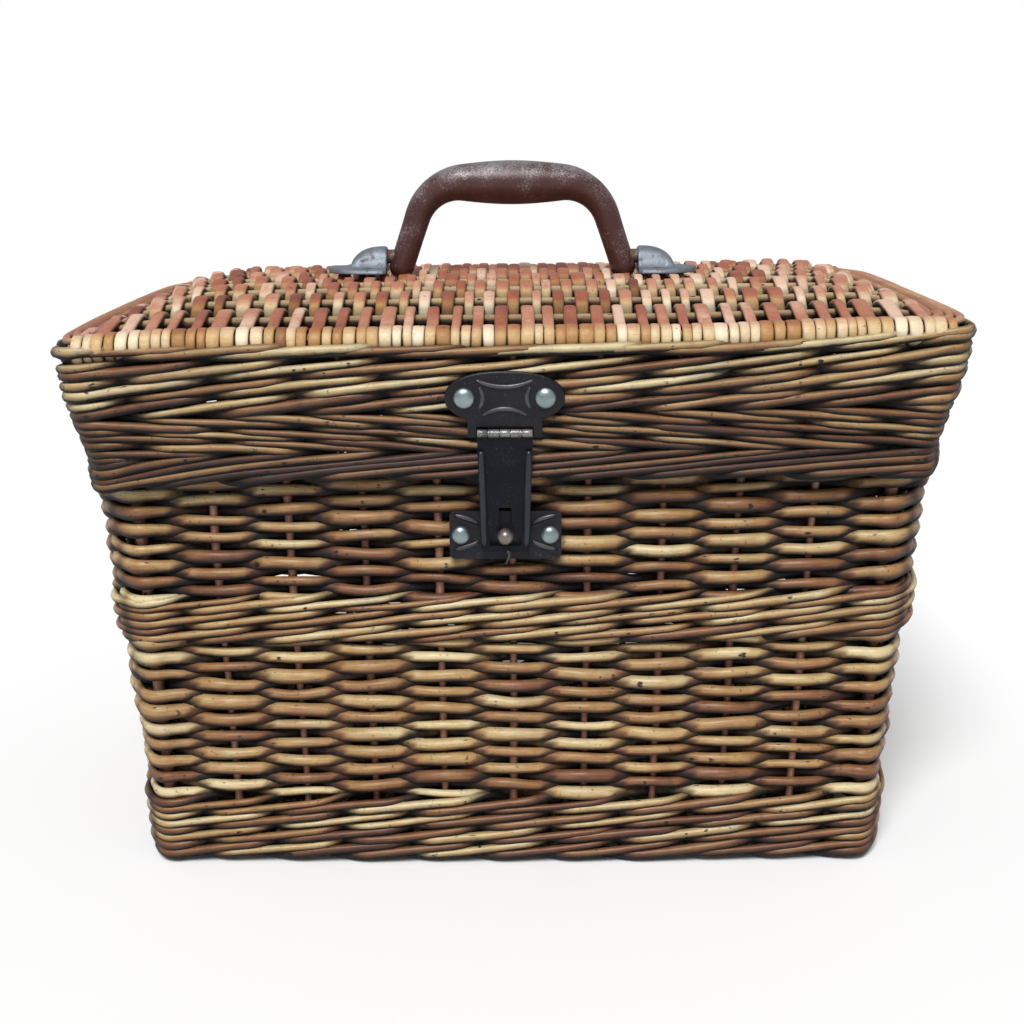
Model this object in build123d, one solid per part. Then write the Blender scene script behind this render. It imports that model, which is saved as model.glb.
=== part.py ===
from build123d import *
import math
import os

# Wicker picnic hamper with a domed hinged lid, a steel carrying handle and a snap hasp.
# Millimetres. X runs to the right, Y to the back, Z up. The origin is on the ground,
# below the middle of the basket. Half sizes of woven rings are taken over the weave
# at the middle of a side, where the side bows out furthest.

os.makedirs("parts", exist_ok=True)

# Basket body
body_top_half_x = 220.0
body_top_half_y = 136.7
body_taper_x = 8.0
body_taper_y = 6.7
weave_height = 228.0
end_bow = 9.0
front_bow = 3.0
corner_radius = 16.0
seat_gap = 0.3
weave = 6.8
inner_corner = 4.0
bottom_wale_height = 40.0
upper_weave_height = 68.0
middle_wale_height = 25.0
wale_proud = 1.5
weaver_pitch = 5.3
weaver_relief = 2.2
row_sides = 4
row_corner = 9.0
border_height = 11.0
border_wall = 10.0
border_inset = 2.0

# Stakes and corner posts, split willow with six faces
stake_faces = 6
stake_radius = 2.4
post_radius = 3.3
front_gap_count = 10
end_gap_count = 6

# Floor
floor_low = 10.0
floor_thickness = 6.0
floor_stick_radius = 2.6
floor_sticks_per_side = 4
floor_stick_pitch = 24.0

# Lid
lid_side_gap = 1.0
lid_border_height = 14.0
lid_border_wall = 8.5
lid_weave = 5.2
lid_wall = 9.7
lid_step = 1.2
lid_flare = 6.5
lower_wale_height = 21.7
upper_wale_height = 33.0
lid_stake_radius = 2.1
rim_height = 9.0
rim_inset = 7.0
rim_ledge = 1.0
rim_shoulder_rise = 0.6
rim_shoulder_inset = 0.25
crown_rise = 17.0
crown_power = 2.6
crown_flat_half_x = 150.0
crown_skin = 6.0
crown_levels = (0.0, 0.4, 0.75, 0.97)
hip_room = 5.5
crown_slit_pitch = 18.6
crown_slit_width = 2.2
crown_slit_depth = 2.0
crown_slits_per_side = 10
crown_stick_radius = 2.6
crown_sticks_per_side = 5
crown_stick_pitch = 23.0
edge_stick_radius = 3.5
edge_stick_setback = 14.0

# Handle and its brackets
pivot_x = 66.0
pivot_height = 9.0
grip_height = 43.0
leg_angle = 21.0
handle_bend = 27.0
leg_radius = 7.3
grip_radius = 12.7
grip_swell_power = 4
foot_width = 15.0
foot_radius = 7.9
pivot_pin_radius = 4.2
pivot_pin_clearance = 0.08
pivot_pin_setback = 1.5
pivot_pin_end_room = 1.0
handle_sections = 10
bracket_gap = 0.5
bracket_length = 35.5
bracket_half_depth = 19.0
bracket_sheet = 1.6
bracket_corner = 3.0
hood_length = 17.0
hood_sheet = 1.8
bracket_rivet_y = 12.5
bracket_rivet_inset = 11.0

# Fits, and how far fused pieces and cutters reach past a face
fixed_fit = 0.02
bite = 0.5
overshoot = 1.0

# Rivets
small_head_radius = 4.8
large_head_radius = 5.3
bracket_head_radius = 5.7
head_height = 2.4
low_head_height = 1.6
head_faces = 12
rear_head_faces = 8
shank_faces = 6
shank_radius = 1.6
shank_clearance = 0.05
clench_height = 1.0
clench_radius = 3.0

# Snap hasp on the front
hasp_x = -4.2
hasp_hinge_rise = 26.2
hasp_seat = 0.3
hasp_sheet = 1.5
hasp_plate_half_x = 30.6
hasp_plate_low = 5.5
hasp_plate_high = 33.0
hasp_plate_corner = 12.5
hasp_neck_half_x = 19.1
hasp_neck_low = -2.6
hasp_rivet_x = 20.8
hasp_rivet_y = 18.6
spool_half_x = 13.5
spool_waist = 3.5
spool_low = 9.5
spool_high = 28.0
spool_rib = 2.0
emboss_height = 0.9
knuckle_radius = 2.1
knuckle_count = 5
knuckle_row_half = 14.4
knuckle_gap = 0.3
knuckle_relief = 0.4
hinge_wire_radius = 1.1
wire_clearance = 0.06
strap_back = 0.9
strap_top_half = 14.4
strap_base_half = 12.6
strap_length = 66.0
strap_rib_width = 3.4
strap_rib_height = 1.6
strap_rib_start = 9.0
strap_rib_stop = 4.0
strap_foot_corner = 1.5
hole_radius = 5.8
slot_half_x = 3.3
slot_length = 9.5
window_half_x = 8.2
window_drop = 6.2

# Catch on the body
catch_drop = 29.4
catch_half_x = 29.6
catch_half_y = 13.2
catch_corner = 3.0
catch_plate_drop = 1.6
catch_rivet_x = 23.6
chevron_rib = 1.8
chevron_end_inset = 2.5
chevron_strap_gap = 1.5
chevron_wide = 9.5
chevron_narrow = 4.5
neck_radius = 2.4
ball_radius = 4.3
ball_offset = 10.0

# Rear hinges, each riveted between the third and the fourth stake from the middle
rear_inner_stake = 3
rear_rivet_clearance = 0.9
rear_leaf_half_x = 20.0
rear_leaf_sheet = 1.2
rear_leaf_height = 38.0
rear_leaf_corner = 5.0
rear_seat = 0.7
rear_knuckle_radius = 2.4
rear_knuckle_length = 12.0
rear_pin_radius = 1.3
rear_upper_rivet_y = 27.0
rear_lower_leaf_drop = 39.0
rear_lower_leaf_height = 30.0
rear_lower_rivet_drop = 25.0
rear_tongue_drop = 2.0

# Sizes that follow from the ones above
body_base_half_x = body_top_half_x - body_taper_x
body_base_half_y = body_top_half_y - body_taper_y
lower_weave_low = bottom_wale_height
middle_wale_high = weave_height - upper_weave_height
middle_wale_low = middle_wale_high - middle_wale_height
border_top = weave_height + border_height
lid_low = weave_height + seat_gap
lid_wale_low = lid_low + lid_border_height
lid_wale_middle = lid_wale_low + lower_wale_height
lid_wale_high = lid_wale_middle + upper_wale_height
crown_low = lid_wale_high + rim_height
plateau_z = crown_low + crown_rise * crown_levels[-1]
pivot_z = plateau_z + pivot_height
hasp_axis_z = lid_low + hasp_hinge_rise
catch_z = weave_height - catch_drop
rear_lower_leaf_low = weave_height - rear_lower_leaf_drop
rear_lower_leaf_high = rear_lower_leaf_low + rear_lower_leaf_height
rear_lower_rivet_z = weave_height - rear_lower_rivet_drop
bracket_x = pivot_x + foot_width / 2 + bracket_gap


def write(name, shape):
    """Write one sub-part as its own STEP file."""
    export_step(shape, os.path.join("parts", name + ".step"))


def between(low_value, high_value, share):
    """Straight-line value between two values."""
    return low_value + (high_value - low_value) * share


def body_half(z):
    """Half sizes of the tapered body over its weave at a height."""
    share = z / weave_height
    half_x = between(body_base_half_x, body_top_half_x, share)
    half_y = between(body_base_half_y, body_top_half_y, share)
    return half_x, half_y


def border_half():
    """Outer half sizes of the body's plaited border, which covers weave and stakes."""
    half_x, half_y = body_half(weave_height)
    return half_x - border_inset, half_y - border_inset


def lid_border_half():
    """Outer half sizes of the lid's border, which fits around the body's border."""
    half_x, half_y = border_half()
    grow = lid_side_gap + lid_border_wall
    return half_x + grow, half_y + grow


def lid_half(z):
    """Half sizes of the flared lid wall over its weave at a height."""
    half_x, half_y = lid_border_half()
    share = (z - lid_wale_low) / (lid_wale_high - lid_wale_low)
    grow = lid_step + lid_flare * share
    return half_x + grow, half_y + grow


def bowed_face(half_x, half_y, z, corner, ease, bow_share=1.0):
    """Rectangle whose four sides bow out, at height z, with its corners eased by a
    fillet or a chamfer."""
    corner_x = half_x - end_bow * bow_share
    corner_y = half_y - front_bow * bow_share
    right = ThreePointArc((corner_x, -corner_y), (half_x, 0), (corner_x, corner_y))
    back = ThreePointArc((corner_x, corner_y), (0, half_y), (-corner_x, corner_y))
    left = ThreePointArc((-corner_x, corner_y), (-half_x, 0), (-corner_x, -corner_y))
    front = ThreePointArc((-corner_x, -corner_y), (0, -half_y), (corner_x, -corner_y))
    face = make_face([right, back, left, front])
    return Pos(0, 0, z) * ease(face.vertices(), corner)


def ring_hollow(half_at, low, high, thickness):
    """Inside of a ring of weave, with a narrow flat across each corner."""
    inner = []
    for z in (low, high):
        half_x, half_y = half_at(z)
        hollow_x = half_x - thickness
        hollow_y = half_y - thickness
        inner.append(bowed_face(hollow_x, hollow_y, z, inner_corner, chamfer))
    return loft(inner, ruled=True)


def woven_ring(half_at, low, high, thickness, proud=0.0):
    """Closed ring of wale or border between two heights, with a round corner outside."""
    outer = []
    for z in (low, high):
        half_x, half_y = half_at(z)
        outer.append(bowed_face(half_x + proud, half_y + proud, z, corner_radius, fillet))
    return loft(outer, ruled=True) - ring_hollow(half_at, low, high, thickness)


def bowed_side(along, out, bow):
    """Points on one bowed side in order, as (along, out), short of both corners."""
    reach = 1 - row_corner / along
    shares = [reach * (2 * step / row_sides - 1) for step in range(row_sides + 1)]
    return [(along * share, out + bow * (1 - share * share)) for share in shares]


def row_outline(half_x, half_y, z, bow_share=1.0):
    """Outline of a row of weavers in short straight runs, with a flat across each
    corner, at height z."""
    corner_x = half_x - end_bow * bow_share
    corner_y = half_y - front_bow * bow_share
    ends = bowed_side(corner_y, corner_x, end_bow * bow_share)
    sides = bowed_side(corner_x, corner_y, front_bow * bow_share)
    points = [(out, along) for along, out in ends]
    points += [(-along, out) for along, out in sides]
    points += [(-out, -along) for along, out in ends]
    points += [(along, -out) for along, out in sides]
    return Pos(0, 0, z) * make_face(Polyline(*points, close=True))


def randing_ring(low, high):
    """Ring of single weavers in rows, each row standing out from the creases above
    and below it."""
    rows = round((high - low) / weaver_pitch)
    outer = []
    for step in range(2 * rows + 1):
        z = between(low, high, step / (2 * rows))
        half_x, half_y = body_half(z)
        crease = weaver_relief if step % 2 == 0 else 0.0
        outer.append(row_outline(half_x - crease, half_y - crease, z))
    return loft(outer, ruled=True) - ring_hollow(body_half, low, high, weave)


def rod(start, end, radius):
    """Round rod between two points."""
    start = Vector(*start)
    end = Vector(*end)
    along = end - start
    plane = Plane(origin=start, z_dir=along)
    middle = plane.location * Pos(0, 0, along.length / 2)
    return middle * Cylinder(radius, along.length)


def stick(start, end, radius):
    """Six-sided split stick between two points, its corners at a radius."""
    start = Vector(*start)
    end = Vector(*end)
    along = end - start
    plane = Plane(origin=start, z_dir=along)
    return extrude(plane * RegularPolygon(radius, stake_faces), along.length)


def tube_along_x(x_start, x_end, y, z, radius):
    """Round rod along X between two places."""
    return rod((x_start, y, z), (x_end, y, z), radius)


def side_x_places():
    """Shares of the corner width at which the stakes of a long side stand."""
    half = front_gap_count / 2
    return [step / half for step in range(1 - front_gap_count // 2, front_gap_count // 2)]


def side_y_places():
    """Shares of the corner depth at which the stakes of an end stand."""
    half = end_gap_count / 2
    return [step / half for step in range(1 - end_gap_count // 2, end_gap_count // 2)]


def stake_place(half_x, half_y, inset, share_x, share_y):
    """Plan position on the line of stakes, from shares of the corner sizes."""
    line_x = half_x - inset
    line_y = half_y - inset
    corner_x = line_x - end_bow
    corner_y = line_y - front_bow
    if abs(share_y) == 1:
        bulge = front_bow * (1 - share_x * share_x)
        return corner_x * share_x, share_y * (corner_y + bulge)
    bulge = end_bow * (1 - share_y * share_y)
    return share_x * (corner_x + bulge), corner_y * share_y


def corner_place(half_x, half_y, inset, share_x, share_y):
    """Plan position of a corner post, off the flat across the inner corner."""
    tuck = (inner_corner / 2 + (post_radius + seat_gap) / math.sqrt(2)) - post_radius
    corner_x = half_x - inset - end_bow - tuck
    corner_y = half_y - inset - front_bow - tuck
    return share_x * corner_x, share_y * corner_y


def stake_row(place, half_at, inset, shares, low, high, radius):
    """Leaning sticks between two heights at each pair of shares."""
    sticks = []
    for share_x, share_y in shares:
        foot_x, foot_y = place(*half_at(low), inset, share_x, share_y)
        top_x, top_y = place(*half_at(high), inset, share_x, share_y)
        sticks.append(stick((foot_x, foot_y, low), (top_x, top_y, high), radius))
    return sticks


front_shares = [(share, -1) for share in side_x_places()]
back_shares = [(share, 1) for share in side_x_places()]
left_shares = [(-1, share) for share in side_y_places()]
right_shares = [(1, share) for share in side_y_places()]
corner_shares = [(-1, -1), (1, -1), (1, 1), (-1, 1)]
stake_groups = {
    "front_stakes": front_shares,
    "back_stakes": back_shares,
    "left_stakes": left_shares,
    "right_stakes": right_shares,
}


stake_foot = floor_low + floor_thickness + seat_gap
stake_top = weave_height - seat_gap


def body_stakes(shares):
    """Stakes of the body wall, from the floor up to the border."""
    inset = weave + seat_gap + stake_radius
    return stake_row(
        stake_place, body_half, inset, shares, stake_foot, stake_top, stake_radius
    )


def body_posts():
    """The four thick corner posts of the body."""
    inset = weave + post_radius
    return stake_row(
        corner_place, body_half, inset, corner_shares, stake_foot, stake_top, post_radius
    )


def lid_stakes():
    """Short stakes of the lid wall, from its border up to the rim."""
    shares = front_shares + back_shares + left_shares + right_shares
    inset = lid_weave + seat_gap + lid_stake_radius
    low = lid_wale_low + seat_gap
    high = lid_wale_high - seat_gap
    return stake_row(stake_place, lid_half, inset, shares, low, high, lid_stake_radius)


# Frames of the hardware: local x across, local y up the wall, local z out of the wall


def lid_lean():
    """Angle of the lid wall from the vertical, in degrees."""
    return math.degrees(math.atan2(lid_flare, lid_wale_high - lid_wale_low))


def body_lean():
    """Angle of the body wall from the vertical, in degrees."""
    return math.degrees(math.atan2(body_top_half_y - body_base_half_y, weave_height))


def wall_frame(x, half_y, z, lean, side):
    """Frame on a wall: side is -1 on the front and 1 on the back."""
    slope = math.radians(lean)
    outward = (0, side * math.cos(slope), -math.sin(slope))
    return Plane(origin=(x, side * half_y, z), x_dir=(-side, 0, 0), z_dir=outward)


def bow_drop(half_x, x):
    """How far a long side has fallen back from the middle of its bow at a place."""
    corner_x = half_x - end_bow
    bow_radius = (corner_x * corner_x + front_bow * front_bow) / (2 * front_bow)
    return bow_radius - math.sqrt(bow_radius * bow_radius - x * x)


def lid_wall_y(z, x=0.0):
    """Outer face of the lid's long side at a place, carried on below the wale."""
    half_x, half_y = lid_half(z)
    return half_y - bow_drop(half_x, x)


def body_wall_y(z, x=0.0):
    """Outer face of the body's long side at a place."""
    half_x, half_y = body_half(z)
    return half_y - bow_drop(half_x, x)


def rear_stake_edges():
    """Where the two stakes beside a rear hinge end and start, along X, for the lid's
    rivets and the body's rivets together."""
    pitches = front_gap_count / 2
    lid_inset = lid_weave + seat_gap + lid_stake_radius + end_bow
    lid_line = lid_half(lid_low + rear_upper_rivet_y)[0] - lid_inset
    body_inset = weave + seat_gap + stake_radius + end_bow
    body_line = body_half(rear_lower_rivet_z)[0] - body_inset
    lines = ((lid_line, lid_stake_radius), (body_line, stake_radius))
    ends = [rear_inner_stake / pitches * line + radius for line, radius in lines]
    starts = [(rear_inner_stake + 1) / pitches * line - radius for line, radius in lines]
    return max(ends), min(starts)


hasp_frame = wall_frame(hasp_x, lid_wall_y(hasp_axis_z), hasp_axis_z, lid_lean(), -1)
catch_frame = wall_frame(hasp_x, body_wall_y(catch_z), catch_z, body_lean(), -1)
hasp_axis_out = hasp_seat + knuckle_radius
rear_axis_out = rear_seat + rear_knuckle_radius
rear_room = rear_stake_edges()
rear_hinge_x = (rear_room[0] + rear_room[1]) / 2
rear_rivet_x = (rear_room[1] - rear_room[0]) / 2 - clench_radius - rear_rivet_clearance
rear_inner_x = rear_hinge_x - rear_leaf_half_x
rear_outer_x = rear_hinge_x + rear_rivet_x + clench_radius


def rear_frame(x):
    """Frame of a rear hinge, on the lid wall's face carried down to the hinge line."""
    return wall_frame(x, lid_wall_y(lid_low, rear_inner_x), lid_low, lid_lean(), 1)


def placed(frame, x, y, z, shape):
    """Put a shape made about the origin at a place in a frame."""
    return frame.location * Pos(x, y, z) * shape


def tapered_disc(low_radius, high_radius, height, faces):
    """Many-sided disc that narrows from its foot at z 0 to its top."""
    shrink = (low_radius - high_radius) * math.cos(math.pi / faces)
    draft = math.degrees(math.atan2(shrink, height))
    return extrude(RegularPolygon(low_radius, faces), height, taper=draft)


def domed_rivet(head_radius, rise, grip, faces):
    """Rivet with a domed head above z 0, a shank of length grip and a clenched end."""
    shoulder = head_radius * 0.8
    shoulder_z = rise * 0.6
    crest = head_radius * 0.4
    head = tapered_disc(head_radius, shoulder, shoulder_z, faces)
    head += Pos(0, 0, shoulder_z) * tapered_disc(shoulder, crest, rise - shoulder_z, faces)
    shank = Pos(0, 0, -grip) * extrude(RegularPolygon(shank_radius, shank_faces), grip)
    end = Pos(0, 0, -grip - clench_height)
    clench = end * extrude(RegularPolygon(clench_radius, shank_faces), clench_height)
    return head + shank + clench


def shank_bore(depth):
    """Cutter for a rivet's shank, from above the plate down to a depth."""
    section = RegularPolygon(shank_radius + shank_clearance, shank_faces)
    return Pos(0, 0, -depth) * extrude(section, depth + 2 * overshoot)


def rivet_set(frame, places, seat, sheet, through, head_radius, rise, faces=head_faces):
    """Rivets and their bores at places of a frame, through a wall of a thickness."""
    rivets = []
    bores = []
    top = seat + sheet + fixed_fit
    grip = top + through + seat_gap
    for x, y in places:
        rivet = domed_rivet(head_radius, rise, grip, faces)
        rivets.append(placed(frame, x, y, top, rivet))
        bores.append(placed(frame, x, y, seat + sheet, shank_bore(grip + overshoot)))
    return rivets, bores


def hasp_rivets():
    """The two large domed rivets of the hasp's top plate."""
    places = [(-hasp_rivet_x, hasp_rivet_y), (hasp_rivet_x, hasp_rivet_y)]
    return rivet_set(
        hasp_frame, places, hasp_seat, hasp_sheet, lid_weave, large_head_radius, head_height
    )


def catch_rivets():
    """The two domed rivets of the catch plate."""
    places = [(-catch_rivet_x, -catch_plate_drop), (catch_rivet_x, -catch_plate_drop)]
    return rivet_set(
        catch_frame, places, hasp_seat, hasp_sheet, weave, small_head_radius, head_height
    )


def rear_bow(z):
    """How far the wall falls back across the width of a rear hinge."""
    half_x = body_half(z)[0]
    return bow_drop(half_x, rear_outer_x) - bow_drop(half_x, rear_inner_x)


def rear_upper_rivets(x):
    """The two rivets of a rear hinge's upper leaf."""
    places = [(-rear_rivet_x, rear_upper_rivet_y), (rear_rivet_x, rear_upper_rivet_y)]
    through = lid_weave + rear_bow(lid_low)
    return rivet_set(
        rear_frame(x), places, rear_seat, rear_leaf_sheet, through, small_head_radius,
        low_head_height, rear_head_faces,
    )


def rear_lower_rivets(x):
    """The two rivets of a rear hinge's lower leaf."""
    half_y = body_wall_y(rear_lower_rivet_z, rear_inner_x)
    frame = wall_frame(x, half_y, rear_lower_rivet_z, body_lean(), 1)
    places = [(-rear_rivet_x, 0), (rear_rivet_x, 0)]
    through = weave + rear_bow(rear_lower_rivet_z)
    return rivet_set(
        frame, places, seat_gap, rear_leaf_sheet, through, small_head_radius,
        low_head_height, rear_head_faces,
    )


def bracket_rivets(side):
    """The two low rivets of a handle bracket, one on each side of the hood."""
    frame = Plane(origin=(side * (bracket_x + bracket_rivet_inset), 0, plateau_z))
    places = [(0, -bracket_rivet_y), (0, bracket_rivet_y)]
    return rivet_set(
        frame, places, 0.0, bracket_sheet, crown_skin, bracket_head_radius, low_head_height
    )


# Body


def write_body():
    """Woven wall in bands, its border, its stakes and its corner posts."""
    bottom = woven_ring(body_half, 0.0, bottom_wale_height, weave, wale_proud)
    write("bottom_wale", bottom)
    write("lower_weave", randing_ring(lower_weave_low, middle_wale_low))
    middle = woven_ring(body_half, middle_wale_low, middle_wale_high, weave, wale_proud)
    write("middle_wale", middle)
    upper = randing_ring(middle_wale_high, weave_height)
    bores = catch_rivets()[1] + stud_bore()
    bores += rear_lower_rivets(-rear_hinge_x)[1] + rear_lower_rivets(rear_hinge_x)[1]
    write("upper_weave", upper - bores)
    border = woven_ring(lambda z: border_half(), weave_height, border_top, border_wall)
    write("body_border", border)
    for name, shares in stake_groups.items():
        write(name, Compound(body_stakes(shares)))
    write("corner_posts", Compound(body_posts()))


def write_floor():
    """Woven floor panel, and the sticks below it that run from end to end."""
    half_x, half_y = body_half(floor_low)
    inset = weave + seat_gap
    plan = bowed_face(half_x - inset, half_y - inset, floor_low, inner_corner, chamfer)
    write("floor_weave", extrude(plan, floor_thickness, dir=(0, 0, 1)))
    z = floor_low - seat_gap - floor_stick_radius
    reach = half_x - inset - end_bow - seat_gap
    sticks = []
    for step in range(-floor_sticks_per_side, floor_sticks_per_side + 1):
        y = step * floor_stick_pitch
        sticks.append(stick((-reach, y, z), (reach, y, z), floor_stick_radius))
    write("floor_sticks", Compound(sticks))


# Lid


def write_lid_wall():
    """Border and two wale bands of the lid, with the short stakes inside them."""
    bores = hasp_rivets()[1]
    bores += rear_upper_rivets(-rear_hinge_x)[1] + rear_upper_rivets(rear_hinge_x)[1]
    border = woven_ring(lambda z: lid_border_half(), lid_low, lid_wale_low, lid_border_wall)
    write("lid_border", border)
    lower = woven_ring(lid_half, lid_wale_low, lid_wale_middle, lid_weave)
    upper = woven_ring(lid_half, lid_wale_middle, lid_wale_high, lid_weave)
    write("lid_lower_wale", lower - bores)
    write("lid_upper_wale", upper - bores)
    write("lid_stakes", Compound(lid_stakes()))


def crown_half(level):
    """Half sizes of the crown's outline where it has risen by a share of its rise."""
    top_x, top_y = lid_half(lid_wale_high)
    edge_x = top_x - rim_inset
    edge_y = top_y - rim_inset
    spread = (1 - level) ** (1 / crown_power)
    half_x = crown_flat_half_x + (edge_x - crown_flat_half_x) * spread
    return half_x, edge_y * spread


def crown_bow_share(half_y):
    """Share of the full bow at one level: the crown bows less where it is narrower."""
    return (half_y / lid_half(lid_wale_high)[1]) ** 2


def crown_outline(half_x, half_y, z):
    """Outline of the crown's weavers at one level."""
    return row_outline(half_x, half_y, z, crown_bow_share(half_y))


def crown_hollow_outline(half_x, half_y, z):
    """Outline of the crown's open underside at one level."""
    return bowed_face(half_x, half_y, z, inner_corner, chamfer, crown_bow_share(half_y))


def crown_shell():
    """Domed woven skin of the lid, with its rolled rim and an open underside."""
    top_x, top_y = lid_half(lid_wale_high)
    shoulder_z = lid_wale_high + rim_height * rim_shoulder_rise
    shoulder_inset = rim_inset * rim_shoulder_inset
    shoulder_x = top_x - shoulder_inset
    shoulder_y = top_y - shoulder_inset
    outer = [
        crown_outline(top_x, top_y, lid_wale_high),
        crown_outline(shoulder_x, shoulder_y, shoulder_z),
    ]
    inner_x = top_x - lid_wall
    inner_y = top_y - lid_wall
    inner = [crown_hollow_outline(inner_x, inner_y, lid_wale_high - overshoot)]
    for level in crown_levels:
        half_x, half_y = crown_half(level)
        z = crown_low + crown_rise * level
        outer.append(crown_outline(half_x, half_y, z))
        room_x = min(half_x - crown_skin / 2, inner_x - rim_ledge)
        room_y = min(half_y - crown_skin / 2, inner_y - rim_ledge)
        inner.append(crown_hollow_outline(room_x, room_y, z - crown_skin))
    return loft(outer, ruled=True) - loft(inner, ruled=True)


def crown_slits():
    """Slits between the crown's weavers, from front to back down to a bed that lies
    below the dome by one depth."""
    beds = []
    for level in crown_levels:
        half_x, half_y = crown_half(level)
        z = crown_low + crown_rise * level - crown_slit_depth
        bed_x = half_x - crown_slit_depth / 2
        bed_y = half_y - crown_slit_depth / 2
        beds.append(crown_outline(bed_x, bed_y, z))
    bed = loft(beds, ruled=True)
    low = crown_low - crown_slit_depth
    height = crown_rise + 2 * crown_slit_depth
    depth = 2 * lid_half(lid_wale_high)[1]
    slits = []
    for step in range(-crown_slits_per_side, crown_slits_per_side + 1):
        slit = Box(crown_slit_width, depth, height)
        slits.append(Pos(step * crown_slit_pitch, 0, low + height / 2) * slit - bed)
    return slits


def roof_place(level, axis, y):
    """Where the crown's underside passes a level along x (axis 0) or y (axis 1)."""
    half = crown_half(level)
    if axis == 1:
        return half[1] - crown_skin / 2
    share = crown_bow_share(half[1])
    along = min(1.0, (abs(y) + crown_stick_radius) / half[1])
    return half[0] - crown_skin / 2 - end_bow * share * along * along - hip_room


def roof_lines(axis, y=0.0):
    """Slopes of the crown's underside along x (axis 0) or y (axis 1), as
    (place, height, slope) with the plateau last, lowered to the middle of a stick."""
    seat = seat_gap + crown_stick_radius
    lines = []
    for low_level, high_level in zip(crown_levels, crown_levels[1:]):
        low_place = roof_place(low_level, axis, y)
        high_place = roof_place(high_level, axis, y)
        slope = crown_rise * (high_level - low_level) / (high_place - low_place)
        drop = crown_skin + seat * math.hypot(1, slope)
        lines.append((low_place, crown_low + crown_rise * low_level - drop, slope))
    lines.append((0.0, plateau_z - crown_skin - seat, 0.0))
    return lines


def roof_height(lines, place):
    """Height at which a stick's middle lies below all the slopes at a place."""
    return min(z + slope * (place - start) for start, z, slope in lines)


def crown_stick(y):
    """One stick under the crown, bent down over both ends along the dome."""
    flat_z = roof_height(roof_lines(1), abs(y))
    lines = roof_lines(0, y)
    limit = lid_half(lid_wale_high)[0] - lid_wall - crown_stick_radius - end_bow - seat_gap
    sloping = [line for line in lines if line[2] != 0]
    bend = min(start + (flat_z - z) / slope for start, z, slope in sloping)
    places = [bend, between(bend, limit, 0.5), limit]
    right = [(x, min(flat_z, roof_height(lines, x))) for x in places]
    left = [(-x, z) for x, z in reversed(right)]
    sections = []
    for x, z in left + right:
        plane = Plane(origin=(x, y, z), z_dir=(1, 0, 0))
        sections.append(plane * RegularPolygon(crown_stick_radius, stake_faces))
    return loft(sections, ruled=True)


def write_crown():
    """Woven dome, the sticks below it and the edge sticks under its rim."""
    shell = crown_shell()
    bores = bracket_rivets(-1)[1] + bracket_rivets(1)[1]
    write("lid_crown", shell - crown_slits() - bores)
    pitches = range(-crown_sticks_per_side, crown_sticks_per_side + 1)
    sticks = [crown_stick(step * crown_stick_pitch) for step in pitches]
    write("crown_sticks", Compound(sticks))
    top_x, top_y = lid_half(lid_wale_high)
    reach = top_x - lid_wall - end_bow - edge_stick_setback
    y = top_y - bow_drop(top_x, reach) - lid_wall - edge_stick_radius - seat_gap
    z = lid_wale_high - edge_stick_radius
    edges = []
    for side in (-1, 1):
        edges.append(stick((-reach, side * y, z), (reach, side * y, z), edge_stick_radius))
    write("lid_edge_sticks", Compound(edges))


# Handle


def handle_path():
    """Middle line of the handle from one foot over the grip to the other foot."""
    corner_x = pivot_x - grip_height * math.tan(math.radians(leg_angle))
    grip_z = pivot_z + grip_height
    points = [
        (-pivot_x, 0, pivot_z),
        (-corner_x, 0, grip_z),
        (corner_x, 0, grip_z),
        (pivot_x, 0, pivot_z),
    ]
    return FilletPolyline(*points, radius=handle_bend)


def handle_bar():
    """Steel bar of the handle, thin at the feet and swelling to a full grip."""
    path = handle_path()
    sections = []
    for step in range(handle_sections + 1):
        place = step / handle_sections
        from_middle = abs(2 * place - 1)
        swell = math.cos(from_middle * math.pi / 2) ** grip_swell_power
        radius = between(leg_radius, grip_radius, swell)
        plane = Plane(origin=path @ place, x_dir=(0, 1, 0), z_dir=path % place)
        sections.append(plane * Circle(radius))
    bar = loft(sections)
    for side in (-1, 1):
        inner = side * (pivot_x - foot_width / 2)
        outer = side * (pivot_x + foot_width / 2)
        bar += tube_along_x(inner, outer, 0, pivot_z, foot_radius)
        bore_start = inner + side * (pivot_pin_setback - bite)
        bore_end = outer + side * overshoot
        bar -= tube_along_x(bore_start, bore_end, 0, pivot_z, pivot_pin_radius + fixed_fit)
    return bar


def pivot_pin(side):
    """Round pin from a foot of the handle out into its bracket's hood."""
    inner = side * (pivot_x - foot_width / 2 + pivot_pin_setback)
    outer = side * (bracket_x + hood_length - pivot_pin_end_room)
    return tube_along_x(inner, outer, 0, pivot_z, pivot_pin_radius)


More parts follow.
